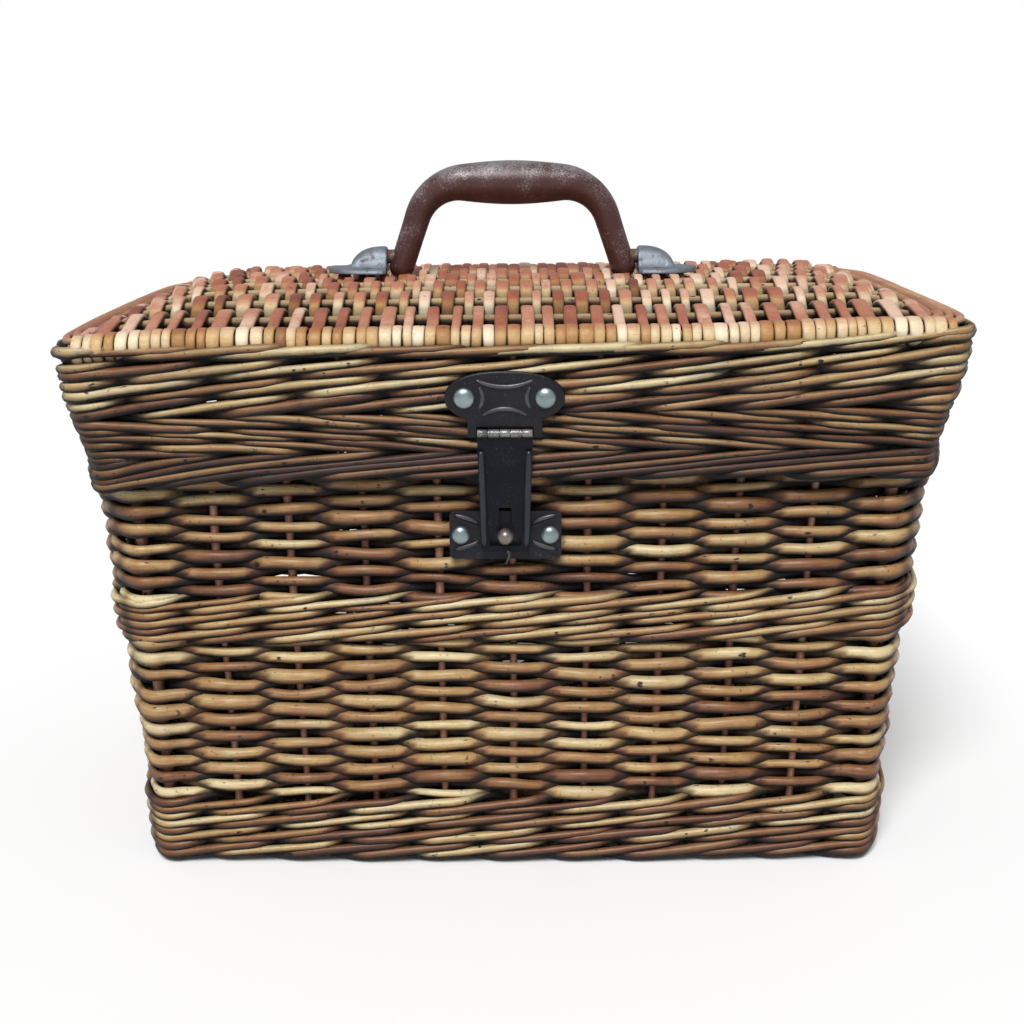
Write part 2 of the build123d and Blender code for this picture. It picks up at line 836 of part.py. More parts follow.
def bracket(side):
    """Pressed plate with a half-round hood that holds the pivot pin."""
    middle_x = bracket_x + bracket_length / 2
    plan = Rectangle(bracket_length, bracket_half_depth * 2)
    plan = chamfer(plan.vertices(), bracket_corner)
    plate = Pos(middle_x, 0, plateau_z) * extrude(plan, bracket_sheet)
    inner_radius = pivot_pin_radius + pivot_pin_clearance
    outer_radius = inner_radius + hood_sheet
    low = plateau_z + bracket_sheet / 2
    hood = tube_along_x(bracket_x, bracket_x + hood_length, 0, pivot_z, outer_radius)
    hood += Pos(bracket_x + hood_length, 0, pivot_z) * Sphere(outer_radius)
    height = pivot_z - low
    hood += Pos(bracket_x + hood_length / 2, 0, low + height / 2) * Box(
        hood_length, outer_radius * 2, height
    )
    hood += Pos(bracket_x + hood_length, 0, low + height / 2) * Cylinder(outer_radius, height)
    mouth_x = bracket_x - overshoot
    tunnel = tube_along_x(mouth_x, bracket_x + hood_length, 0, pivot_z, inner_radius)
    floor_z = plateau_z + bracket_sheet
    drop = pivot_z - floor_z
    run = hood_length + overshoot
    tunnel += Pos(mouth_x + run / 2, 0, floor_z + drop / 2) * Box(run, inner_radius * 2, drop)
    hood = split(hood, Plane.XY.offset(plateau_z), keep=Keep.TOP)
    shape = plate + hood - tunnel
    if side < 0:
        shape = mirror(shape, Plane.YZ)
    return shape - bracket_rivets(side)[1]


def write_handle():
    """Handle bar, its pins, the brackets and their rivets."""
    write("handle_bar", handle_bar())
    write("pivot_pins", Compound([pivot_pin(-1), pivot_pin(1)]))
    write("handle_brackets", Compound([bracket(-1), bracket(1)]))
    rivets = bracket_rivets(-1)[0] + bracket_rivets(1)[0]
    write("bracket_rivets", Compound(rivets))


# Snap hasp


def knuckle_span(index):
    """Start and end across the hasp of one hinge knuckle."""
    pitch = 2 * knuckle_row_half / knuckle_count
    start = -knuckle_row_half + index * pitch
    return start + knuckle_gap / 2, start + pitch - knuckle_gap / 2


def hasp_knuckle(index):
    """One rolled knuckle of the hasp's hinge, without its bore."""
    start, end = knuckle_span(index)
    return rod((start, 0, hasp_axis_out), (end, 0, hasp_axis_out), knuckle_radius)


def hasp_wire_bore(clearance):
    """Cutter for the hinge wire through the row of knuckles."""
    reach = knuckle_row_half + overshoot
    radius = hinge_wire_radius + clearance
    return rod((-reach, 0, hasp_axis_out), (reach, 0, hasp_axis_out), radius)


def spool_rib_ring():
    """Raised spool-shaped rib pressed into the top plate."""

    def outline(inset):
        left = spool_half_x - inset
        low = spool_low + inset
        high = spool_high - inset
        edges = [
            ThreePointArc((-left, high), (0, high - spool_waist), (left, high)),
            Line((left, high), (left, low)),
            ThreePointArc((left, low), (0, low + spool_waist), (-left, low)),
            Line((-left, low), (-left, high)),
        ]
        return make_face(edges)

    return extrude(outline(0.0) - outline(spool_rib), emboss_height)


def hasp_plate():
    """Oval plate on the lid with its neck, spool rib and three of the knuckles."""
    height = hasp_plate_high - hasp_plate_low
    middle = (hasp_plate_high + hasp_plate_low) / 2
    oval = Pos(0, middle) * RectangleRounded(hasp_plate_half_x * 2, height, hasp_plate_corner)
    neck_height = middle - hasp_neck_low
    neck = Pos(0, hasp_neck_low + neck_height / 2) * Rectangle(hasp_neck_half_x * 2, neck_height)
    notch_high = knuckle_radius + knuckle_relief
    notch_half = knuckle_row_half + knuckle_gap
    notch_height = notch_high - hasp_neck_low + overshoot
    notch = Pos(0, notch_high - notch_height / 2) * Rectangle(notch_half * 2, notch_height)
    plate = extrude(oval + neck - notch, hasp_sheet)
    plate += Pos(0, 0, hasp_sheet) * spool_rib_ring()
    plate = Pos(0, 0, hasp_seat) * plate
    for index in range(0, knuckle_count, 2):
        start, end = knuckle_span(index)
        plate += hasp_knuckle(index)
        web = Box(end - start, notch_high + bite, hasp_sheet)
        web_y = (notch_high + bite) / 2
        plate += Pos((start + end) / 2, web_y, hasp_seat + hasp_sheet / 2) * web
    plate -= hasp_wire_bore(fixed_fit)
    return hasp_frame.location * plate - hasp_rivets()[1]


def strap_hole_y():
    """How far below the hinge line the round hole of the strap lies."""
    return (hasp_axis_z - catch_z) / math.cos(math.radians(lid_lean()))


def strap_outline(inset, low, high):
    """Tapering outline of the strap, between two distances below the hinge."""

    def half(distance):
        return between(strap_top_half, strap_base_half, distance / strap_length) - inset

    points = [
        (-half(low), -low),
        (half(low), -low),
        (half(high), -high),
        (-half(high), -high),
    ]
    return make_face(Polyline(*points, close=True))


def hasp_strap():
    """Strap with folded side ribs, slot, hole and window, and its two knuckles."""
    start = knuckle_radius + knuckle_relief
    sheet = extrude(strap_outline(0.0, start, strap_length), hasp_sheet)
    corners = sheet.edges().filter_by(Axis.Z).sort_by(Axis.Y)[:2]
    sheet = fillet(corners, strap_foot_corner)
    ribs = strap_outline(0.0, strap_rib_start, strap_length - strap_rib_stop)
    ribs -= strap_outline(strap_rib_width, strap_rib_start - overshoot, strap_length)
    sheet += Pos(0, 0, hasp_sheet) * extrude(ribs, strap_rib_height)
    hole_y = -strap_hole_y()
    depth = 2 * (hasp_sheet + strap_rib_height + overshoot)
    sheet -= Pos(0, hole_y, 0) * Cylinder(hole_radius, depth)
    slot_high = hole_y + hole_radius + slot_length
    slot_low = hole_y
    slot = Box(slot_half_x * 2, slot_high - slot_low, depth)
    sheet -= Pos(0, (slot_high + slot_low) / 2, 0) * slot
    window = Box(window_half_x * 2, window_drop, depth)
    sheet -= Pos(0, hole_y - window_drop / 2, 0) * window
    strap = Pos(0, 0, strap_back) * sheet
    for index in range(1, knuckle_count, 2):
        first, last = knuckle_span(index)
        strap += hasp_knuckle(index)
        web = Box(last - first, start + bite, hasp_sheet)
        strap += Pos((first + last) / 2, -(start + bite) / 2, strap_back + hasp_sheet / 2) * web
    strap -= hasp_wire_bore(wire_clearance)
    return hasp_frame.location * strap


def hinge_wire():
    """Wire pin through the five knuckles of the hasp."""
    half = knuckle_row_half - knuckle_gap / 2
    pin = rod((-half, 0, hasp_axis_out), (half, 0, hasp_axis_out), hinge_wire_radius)
    return hasp_frame.location * pin


def chevron_ribs():
    """Raised V ribs pressed into each half of the catch plate."""
    ribs = []
    for side in (-1, 1):
        outer = side * (catch_half_x - chevron_end_inset)
        inner = side * (strap_base_half + chevron_strap_gap)
        for lift in (-1, 1):
            wide_y = lift * chevron_wide - catch_plate_drop
            narrow_y = lift * chevron_narrow - catch_plate_drop
            line = Line((outer, wide_y), (inner, narrow_y))
            ribs.append(extrude(trace(line, chevron_rib), emboss_height))
    return ribs


def catch_plate():
    """Plate on the body that carries the ball stud."""
    plan = RectangleRounded(catch_half_x * 2, catch_half_y * 2, catch_corner)
    plate = Pos(0, -catch_plate_drop, 0) * extrude(plan, hasp_sheet)
    for rib in chevron_ribs():
        plate += Pos(0, 0, hasp_sheet) * rib
    plate = Pos(0, 0, hasp_seat) * plate
    return catch_frame.location * plate - catch_rivets()[1] - stud_bore()


def stud_bore():
    """Bore for the shank of the ball stud through the plate and the wall."""
    return [placed(catch_frame, 0, 0, hasp_seat + hasp_sheet, shank_bore(2 * weave))]


def ball_stud():
    """Ball on a neck over which the strap snaps, riveted through the wall."""
    face = hasp_seat + hasp_sheet + fixed_fit
    neck = Pos(0, 0, face) * extrude(Circle(neck_radius), ball_offset - face)
    ball = Pos(0, 0, ball_offset) * Sphere(ball_radius)
    back = weave + seat_gap
    section = RegularPolygon(shank_radius, shank_faces)
    shank = Pos(0, 0, -back) * extrude(section, face + back)
    end = RegularPolygon(clench_radius, shank_faces)
    clench = Pos(0, 0, -back - clench_height) * extrude(end, clench_height)
    return catch_frame.location * (neck + ball + shank + clench)


def write_hasp():
    """Hasp plate, strap, wire, catch plate, stud and their rivets."""
    write("hasp_plate", hasp_plate())
    write("hasp_strap", hasp_strap())
    write("hasp_hinge_wire", hinge_wire())
    write("hasp_rivets", Compound(hasp_rivets()[0]))
    write("catch_plate", catch_plate())
    write("catch_stud", ball_stud())
    write("catch_rivets", Compound(catch_rivets()[0]))


# Rear hinges


def rear_axis():
    """World Y and Z of the rear hinge line."""
    slope = math.radians(lid_lean())
    y = lid_wall_y(lid_low, rear_inner_x) + rear_axis_out * math.cos(slope)
    return y, lid_low - rear_axis_out * math.sin(slope)


def rear_upper_leaf(x):
    """Leaf riveted to the lid wall, with the left one of the two knuckles."""
    start = rear_knuckle_radius + knuckle_relief
    height = rear_leaf_height - start
    plan = Pos(0, start + height / 2) * Rectangle(rear_leaf_half_x * 2, height)
    top_corners = plan.vertices().sort_by(Axis.Y)[-2:]
    leaf = extrude(chamfer(top_corners, rear_leaf_corner), rear_leaf_sheet)
    leaf = Pos(0, 0, rear_seat) * leaf
    near = knuckle_gap / 2
    far = near + rear_knuckle_length
    leaf += rod((near, 0, rear_axis_out), (far, 0, rear_axis_out), rear_knuckle_radius)
    web = Box(rear_knuckle_length, start + bite, rear_leaf_sheet)
    web_z = rear_seat + rear_leaf_sheet / 2
    leaf += Pos((near + far) / 2, (start + bite) / 2, web_z) * web
    bore_radius = rear_pin_radius + wire_clearance
    leaf -= rod((0, 0, rear_axis_out), (far + overshoot, 0, rear_axis_out), bore_radius)
    return rear_frame(x).location * leaf - rear_upper_rivets(x)[1]


def rear_lower_leaf(x):
    """Leaf riveted to the body, cranked out to the right one of the two knuckles."""
    axis_y, axis_z = rear_axis()
    stand = seat_gap + rear_leaf_sheet / 2
    low_y = body_wall_y(rear_lower_leaf_low, rear_inner_x) + stand
    high_y = body_wall_y(rear_lower_leaf_high, rear_inner_x) + stand
    tongue_y = axis_y - rear_knuckle_radius + rear_leaf_sheet / 2
    tongue_z = axis_z - rear_tongue_drop
    wide = trace(
        Line((low_y, rear_lower_leaf_low), (high_y, rear_lower_leaf_high)), rear_leaf_sheet
    )
    crank = Polyline(
        (low_y, rear_lower_leaf_low), (high_y, rear_lower_leaf_high), (tongue_y, tongue_z),
        (tongue_y, axis_z),
    )
    tongue = trace(crank, rear_leaf_sheet)
    near = knuckle_gap / 2
    far = near + rear_knuckle_length
    leaf = extrude(Plane.YZ * wide, rear_leaf_half_x, both=True)
    leaf += Pos(near, 0, 0) * extrude(Plane.YZ * tongue, rear_knuckle_length)
    leaf += tube_along_x(near, far, axis_y, axis_z, rear_knuckle_radius)
    leaf -= tube_along_x(0, far + overshoot, axis_y, axis_z, rear_pin_radius + fixed_fit)
    return Pos(x, 0, 0) * leaf - rear_lower_rivets(x)[1]


def rear_pin(x):
    """Pin through the two knuckles of a rear hinge."""
    axis_y, axis_z = rear_axis()
    half = rear_knuckle_length
    return tube_along_x(x - half, x + half, axis_y, axis_z, rear_pin_radius)


def write_rear_hinges():
    """Two hinges of three pieces each and their rivets."""
    places = (-rear_hinge_x, rear_hinge_x)
    write("hinge_upper_leaves", Compound([rear_upper_leaf(x) for x in places]))
    write("hinge_lower_leaves", Compound([rear_lower_leaf(x) for x in places]))
    write("hinge_pins", Compound([rear_pin(x) for x in places]))
    upper_rivets = []
    lower_rivets = []
    for x in places:
        upper_rivets += rear_upper_rivets(x)[0]
        lower_rivets += rear_lower_rivets(x)[0]
    write("hinge_lid_rivets", Compound(upper_rivets))
    write("hinge_body_rivets", Compound(lower_rivets))


write_body()
write_floor()
write_lid_wall()
write_crown()
write_handle()
write_hasp()
write_rear_hinges()
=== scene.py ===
import bpy
import math
import numpy as np
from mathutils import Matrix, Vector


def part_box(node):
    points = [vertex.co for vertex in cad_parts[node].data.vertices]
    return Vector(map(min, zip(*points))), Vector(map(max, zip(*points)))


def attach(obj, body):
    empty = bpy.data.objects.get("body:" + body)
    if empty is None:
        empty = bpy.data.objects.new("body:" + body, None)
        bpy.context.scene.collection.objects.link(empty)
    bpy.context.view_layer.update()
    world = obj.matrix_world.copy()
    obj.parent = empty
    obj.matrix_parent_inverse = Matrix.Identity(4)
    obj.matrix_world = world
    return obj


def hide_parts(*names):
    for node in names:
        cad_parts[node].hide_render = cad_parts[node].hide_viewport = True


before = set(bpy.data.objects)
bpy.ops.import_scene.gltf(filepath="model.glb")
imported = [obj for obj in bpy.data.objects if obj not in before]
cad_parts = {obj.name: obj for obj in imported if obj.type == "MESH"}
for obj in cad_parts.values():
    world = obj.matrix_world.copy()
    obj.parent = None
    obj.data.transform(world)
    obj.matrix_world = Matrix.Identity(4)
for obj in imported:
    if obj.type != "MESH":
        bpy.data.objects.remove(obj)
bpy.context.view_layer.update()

# Stakes and corner posts of the body: brown willow rods that stand in the wall,
# eleven across each long side with the corner posts. The weavers hold them, and
# they show as short reddish pieces between the rows.

body_top = (0.2200, 0.1367)
body_base = (0.2120, 0.1300)
weave_height = 0.228
end_bow = 0.009
end_bulge = (0.012, 0.026)
end_fullness = 10
front_bow = 0.003
stake_inset = 0.0095
stake_radius = 0.0024
stake_ends = (0.006, 0.231)
stake_waver = 0.012
post_radius = 0.0036
post_ends = (0.004, 0.231)
long_gaps = 10
short_gaps = 6
round_gaps = 2 * (long_gaps + short_gaps)
plan_steps = 36
corner_softening = 3


def plan_tables():
    """How the plan of the basket runs round it, counted in stakes from the front left
    corner. The first two rows give the place as a share of the corner's, the next two
    how far a side has bowed out, full and quick at the ends and shallow along the
    long sides. All are averaged over a short stretch, so that the corners are folds."""
    turn = np.arange(round_gaps * plan_steps) / plan_steps
    ends = np.cumsum([0, long_gaps, short_gaps, long_gaps, short_gaps])
    share_x = np.interp(turn, ends, [-1, 1, 1, -1, -1])
    share_y = np.interp(turn, ends, [-1, -1, 1, 1, -1])
    on_end = np.abs(share_x) == 1
    bow_x = np.where(on_end, share_x * (1 - np.abs(share_y) ** end_fullness), 0)
    bow_y = np.where(on_end, 0, share_y * (1 - share_x**2))
    kernel = np.hanning(corner_softening + 2)
    kernel /= kernel.sum()
    pad = len(kernel)
    rows = []
    for row in (share_x, share_y, bow_x, bow_y):
        wrapped = np.concatenate([row[-pad:], row, row[:pad]])
        rows.append(np.convolve(wrapped, kernel, mode="same")[pad:-pad])
    return turn, rows


plan_turn, plan_rows = plan_tables()


def plan(turn, corner_x, corner_y, bulge):
    """Place on the plan at a turn counted in stakes: the corner's share of the corner
    size, plus the share of the bow of that side."""
    share_x, share_y, bow_x, bow_y = (
        np.interp(turn, plan_turn, row, period=round_gaps) for row in plan_rows
    )
    return share_x * corner_x + bow_x * bulge, share_y * corner_y + bow_y * front_bow


def plan_outward(turn, corner_x, corner_y, bulge):
    """Level direction out of the wall, at right angles to the plan's run."""
    step = 0.06
    x_after, y_after = plan(turn + step, corner_x, corner_y, bulge)
    x_before, y_before = plan(turn - step, corner_x, corner_y, bulge)
    run_x = x_after - x_before
    run_y = y_after - y_before
    length = np.hypot(run_x, run_y)
    return run_y / length, -run_x / length


corner_turns = [0, long_gaps, long_gaps + short_gaps, 2 * long_gaps + short_gaps]
pinch_width = 0.13


def corner_nearness(turn, wide=pinch_width, beside=0.0):
    """1 at a corner post, or at a distance past it on the short wall, falling to 0
    over a width, all in gaps between stakes."""
    near = np.zeros_like(turn)
    for corner, to_end in zip(corner_turns, (-1, 1, -1, 1)):
        away = np.mod(turn - corner + round_gaps / 2, round_gaps) - round_gaps / 2
        near = near + np.exp(-(((away * to_end - beside) / wide) ** 2))
    return near


fold_darkness = 0.32
fold_width = 0.08
fold_beside = 0.15


def fold_shade(turn):
    """Painted shade of a dark fold on the short wall beside each corner post."""
    return fold_darkness * corner_nearness(turn, fold_width, fold_beside)


# The real weave is uneven: its right end stands a little higher than its left, and
# the lid's wall is taller at its corners, where the rods fold and pile up.

right_end_rise = 0.0040
cubic_share = 0.75
full_rise_height = 0.25
corner_lift = 0.0030
corner_droop = 0.0055
lid_corner = (0.222, 0.139)
lid_level = 0.229
lid_wall_height = 0.070


def settle(points, on_lid):
    """Shift heights as the uneven weave does: up to the right by a sum of the place
    and its cube, more with height, and on the lid up or down towards the corners."""
    x, y, z = points[..., 0], points[..., 1], points[..., 2]
    along = x / body_top[0]
    curve = (1 - cubic_share) * along + cubic_share * along**3
    moved = points.copy()
    moved[..., 2] += right_end_rise * curve * np.clip(z / full_rise_height, 0, 1)
    if on_lid:
        near_end = np.clip((x / lid_corner[0]) ** 4, 0, 1)
        nearness = near_end * np.clip((y / lid_corner[1]) ** 4, 0, 1)
        share = np.clip((z - lid_level) / lid_wall_height, 0, 1)
        moved[..., 2] += nearness * (share * (corner_lift + corner_droop) - corner_droop)
    return moved


def body_plan(z, inset):
    """Corner of the tapered body at a height, a distance inside its face, and the
    bulge of its ends."""
    share = z / weave_height
    half_x = body_base[0] + (body_top[0] - body_base[0]) * share - inset
    half_y = body_base[1] + (body_top[1] - body_base[1]) * share - inset
    bulge = end_bulge[0] + (end_bulge[1] - end_bulge[0]) * np.clip(share, 0, 1)
    return half_x - end_bow, half_y - front_bow, bulge


def eased(share):
    """Smooth step: flat at 0 and at 1."""
    return share * share * (3 - 2 * share)


def drift(rng, rods, places, knots):
    """Slow random waver between -1 and 1 for each rod: random knots joined by smooth
    steps, read at places from 0 to 1 along the rod."""
    values = rng.uniform(-1, 1, (rods, knots + 2))
    at = np.clip(places, 0, 1) * knots
    low = np.minimum(at.astype(int), knots)
    part = eased(at - low)
    if at.ndim == 1:
        return values[:, low] * (1 - part) + values[:, low + 1] * part
    row = np.arange(rods)[:, None]
    return values[row, low] * (1 - part) + values[row, low + 1] * part


def tube_mesh(name, points, values):
    """Closed mesh of rings joined in order, tubes by stations by sides by 3, with flat
    caps, and with each named value of its points."""
    rods, stations, sides, _ = points.shape
    start = np.arange(rods)[:, None, None] * stations * sides
    ring = np.arange(stations - 1)[None, :, None] * sides
    around = np.arange(sides)[None, None, :]
    after = (around + 1) % sides
    quads = np.stack(
        [start + ring + around, start + ring + sides + around,
         start + ring + sides + after, start + ring + after], axis=-1
    ).reshape(-1, 4)
    first = np.arange(rods)[:, None] * stations * sides
    start_caps = first + np.arange(sides)[None, :]
    end_caps = first + (stations - 1) * sides + np.arange(sides)[None, ::-1]
    corners = np.concatenate([quads.ravel(), start_caps.ravel(), end_caps.ravel()])
    quad_count = len(quads)
    totals = np.concatenate([np.full(quad_count, 4), np.full(2 * rods, sides)])
    starts = np.concatenate([[0], np.cumsum(totals)[:-1]])

    mesh = bpy.data.meshes.new(name)
    mesh.vertices.add(rods * stations * sides)
    mesh.vertices.foreach_set("co", points.astype(np.float32).ravel())
    mesh.loops.add(len(corners))
    mesh.loops.foreach_set("vertex_index", corners.astype(np.int32))
    mesh.polygons.add(len(totals))
    mesh.polygons.foreach_set("loop_start", starts.astype(np.int32))
    smooth = np.ones(len(totals), bool)
    smooth[quad_count:] = False
    mesh.polygons.foreach_set("use_smooth", smooth)
    mesh.update(calc_edges=True)
    for key, value in values.items():
        layer = mesh.attributes.new(key, "FLOAT", "POINT")
        layer.data.foreach_set("value", value.astype(np.float32).ravel())
    piece = bpy.data.objects.new(name, mesh)
    bpy.context.scene.collection.objects.link(piece)
    return piece


def pointing(middle, x=0.0, y=0.0, z=0.0):
    """The same direction for every ring along a middle line."""
    return np.broadcast_to([x, y, z], middle.shape)


# The next seven numbers set the painted shade and highlight of the rods' faces: how much a face
# counts as lit from in front and from above, more painted shade where a rod passes between the
# stakes, and a middle value and range.
from_front = 0.62
from_above = 0.70
from_above_on_lid = 0.64
sky_fade = 1.5
edge_shade = 0.20
middle_shade = 0.62
facing_loss = 0.85
flat_power = 0.6
pattern_shift = 3.7


def painted_shading(sin, upward, side_out, on_lid, shade, inside):
    """0 where a rod's face gets a painted highlight, 1 where it lies in full painted shade: a
    middle value and shade, less how far the face looks out of the wall and up, as if lit from in
    front and above. More painted shade lies where a rod passes between the stakes."""
    side_out = side_out[..., None]
    outer = np.clip(1 + sky_fade * sin, 0, 1)
    from_sky = (from_above_on_lid if on_lid else from_above) * upward * outer
    facing = from_front * side_out * sin + from_sky
    facing = facing - edge_shade * (1 - np.abs(side_out))
    facing = np.maximum(facing, inside * np.clip(-sin, 0, 1))
    return np.clip(middle_shade + shade[..., None] - facing_loss * facing, 0, 1)


def rods_mesh(name, middle, outward, half_width, half_depth, tone=0.5, sides=8, blush=0.0,
              side_out=1.0, on_lid=False, level=False, shade=0.0, inside=0.0, flatness=0.0):
    """Mesh of rods: each ring is the middle plus across times half the width times cosine, plus
    outward times half the depth times sine, for angles from the inner side round. middle and
    outward are rods by stations by 3; the rest are rods by stations. side_out is 1 where a rod
    shows outside the wall and -1 where it shows inside, shade adds painted shade to a place, inside
    takes painted shade off the inner faces, and flatness from 0 to 1 squares the section up by
    powers of the cosine and sine. A level piece isn't shifted by the uneven weave. Every point
    keeps its rod's tone, how far it is along, its blush, how far round it is and its painted shade,
    from how far it faces away from a light in front and above, which the materials paint as dark
    shade and pale highlight."""
    if not level:
        middle = settle(middle, on_lid)
    rods, stations, _ = middle.shape
    run = np.gradient(middle, axis=1)
    run /= np.linalg.norm(run, axis=2, keepdims=True)
    across = np.cross(run, outward)
    across /= np.linalg.norm(across, axis=2, keepdims=True)
    proud = np.cross(across, run)
    angle = -math.pi / 2 + 2 * math.pi * np.arange(sides) / sides
    half_width = np.broadcast_to(half_width, (rods, stations))[..., None, None]
    half_depth = np.broadcast_to(half_depth, (rods, stations))[..., None, None]
    power = 1 - flat_power * flatness
    cos = (np.sign(np.cos(angle)) * np.abs(np.cos(angle)) ** power)[None, None, :, None]
    sin = (np.sign(np.sin(angle)) * np.abs(np.sin(angle)) ** power)[None, None, :, None]
    points = middle[:, :, None] + across[:, :, None] * half_width * cos
    points = points + proud[:, :, None] * half_depth * sin
    upward = across[:, :, None, 2] * cos[..., 0] + proud[:, :, None, 2] * sin[..., 0]
    side_out = np.broadcast_to(side_out, (rods, stations))
    shade = np.broadcast_to(shade, (rods, stations))
    # Painted shade of each point, from how it faces a light in front and above.
    shelter = painted_shading(sin[..., 0], upward, side_out, on_lid, shade, inside)
    steps = np.linalg.norm(np.diff(middle, axis=1), axis=2)
    along = np.concatenate([np.zeros((rods, 1)), np.cumsum(steps, axis=1)], axis=1)
    along = along + np.arange(rods)[:, None] * pattern_shift
    shape = (rods, stations, sides)
    values = {
        "tone": np.broadcast_to(np.asarray(tone)[..., None], shape),
        "along": np.broadcast_to(along[..., None], shape),
        "blush": np.broadcast_to(np.asarray(blush)[..., None], shape),
        "shelter": shelter,
        "round": np.broadcast_to(sin[..., 0], shape),
    }
    return tube_mesh(name, points, values)


class Wire:
    """A socket in a material's node tree. Sums on it add Math nodes."""

    def __init__(self, tree, socket=None):
        self.tree = tree
        self.socket = socket

    def node(self, kind, settings=None, inputs=None, output=0):
        """Add a node: its settings first, then the values or links of its sockets."""
        made = self.tree.nodes.new(kind)
        for key, value in (settings or {}).items():
            if key == "stops":
                ramp = made.color_ramp
                while len(ramp.elements) < len(value):
                    ramp.elements.new(0.5)
                for element, (place, colour) in zip(ramp.elements, value):
                    element.position = place
                    element.color = (*colour, 1.0)
            else:
                setattr(made, key, value)
        for key, value in (inputs or {}).items():
            if isinstance(value, Wire):
                self.tree.links.new(value.socket, made.inputs[key])
            else:
                made.inputs[key].default_value = value
        return Wire(self.tree, made.outputs[output])

    def math(self, operation, *values):
        return self.node("ShaderNodeMath", {"operation": operation}, dict(enumerate(values)))

    def __add__(self, other):
        return self.math("ADD", self, other)

    def __radd__(self, other):
        return self.math("ADD", other, self)

    def __sub__(self, other):
        return self.math("SUBTRACT", self, other)

    def __rsub__(self, other):
        return self.math("SUBTRACT", other, self)

    def __mul__(self, other):
        return self.math("MULTIPLY", self, other)

    def __rmul__(self, other):
        return self.math("MULTIPLY", other, self)

    def attribute(self, name):
        return self.node("ShaderNodeAttribute", {"attribute_name": name}, output="Fac")

    def noise(self, vector, scale, detail=2.0, roughness=0.5):
        settings = {"noise_dimensions": "3D"}
        inputs = {"Vector": vector, "Scale": scale, "Detail": detail, "Roughness": roughness}
        return self.node("ShaderNodeTexNoise", settings, inputs)

    def mix(self, share, low, high):
        """A colour between two, by a share."""
        settings = {"data_type": "RGBA", "blend_type": "MIX", "clamp_factor": True}
        return self.node("ShaderNodeMix", settings, {0: share, 6: low, 7: high}, 2)

    def span(self, value, low, high, to_low=0.0, to_high=1.0):
        """A value stretched from one span to another, held at its ends."""
        names = {"Value": value, "From Min": low, "From Max": high}
        names.update({"To Min": to_low, "To Max": to_high})
        return self.node("ShaderNodeMapRange", {"clamp": True}, names)

    def vector(self, x, y, z):
        return self.node("ShaderNodeCombineXYZ", None, {0: x, 1: y, 2: z})


def finish(name):
    """New material with an empty tree but for its Principled shader."""
    material = bpy.data.materials.new(name)
    material.use_nodes = True
    shader = material.node_tree.nodes["Principled BSDF"]
    return material, Wire(material.node_tree), shader.inputs


def plug(wire, socket):
    """Link a wire into a socket of a shader."""
    wire.tree.links.new(wire.socket, socket)


def cover(paint, shader, colour, rough, height, strength, distance):
    """Plug a colour, a roughness and a bump of a height into a shader."""
    plug(colour, shader["Base Color"])
    plug(rough, shader["Roughness"])
    bump = {"Strength": strength, "Distance": distance, "Height": height}
    plug(paint.node("ShaderNodeBump", None, bump), shader["Normal"])


def upright(paint, vector):
    """Z part of a vector."""
    return paint.node("ShaderNodeSeparateXYZ", None, {0: vector}, "Z")


willow_tones = [
    (0.00, (0.060, 0.021, 0.012)),
    (0.20, (0.135, 0.048, 0.018)),
    (0.40, (0.245, 0.108, 0.040)),
    (0.62, (0.390, 0.220, 0.085)),
    (0.82, (0.520, 0.365, 0.165)),
    (1.00, (0.700, 0.570, 0.330)),
]
# Near-black colour of the painted shade in the rods' creases.
shade_black = (0.004, 0.003, 0.003, 1.0)
knot_brown = (0.022, 0.012, 0.009, 1.0)
stain_purple = (0.130, 0.036, 0.030, 1.0)


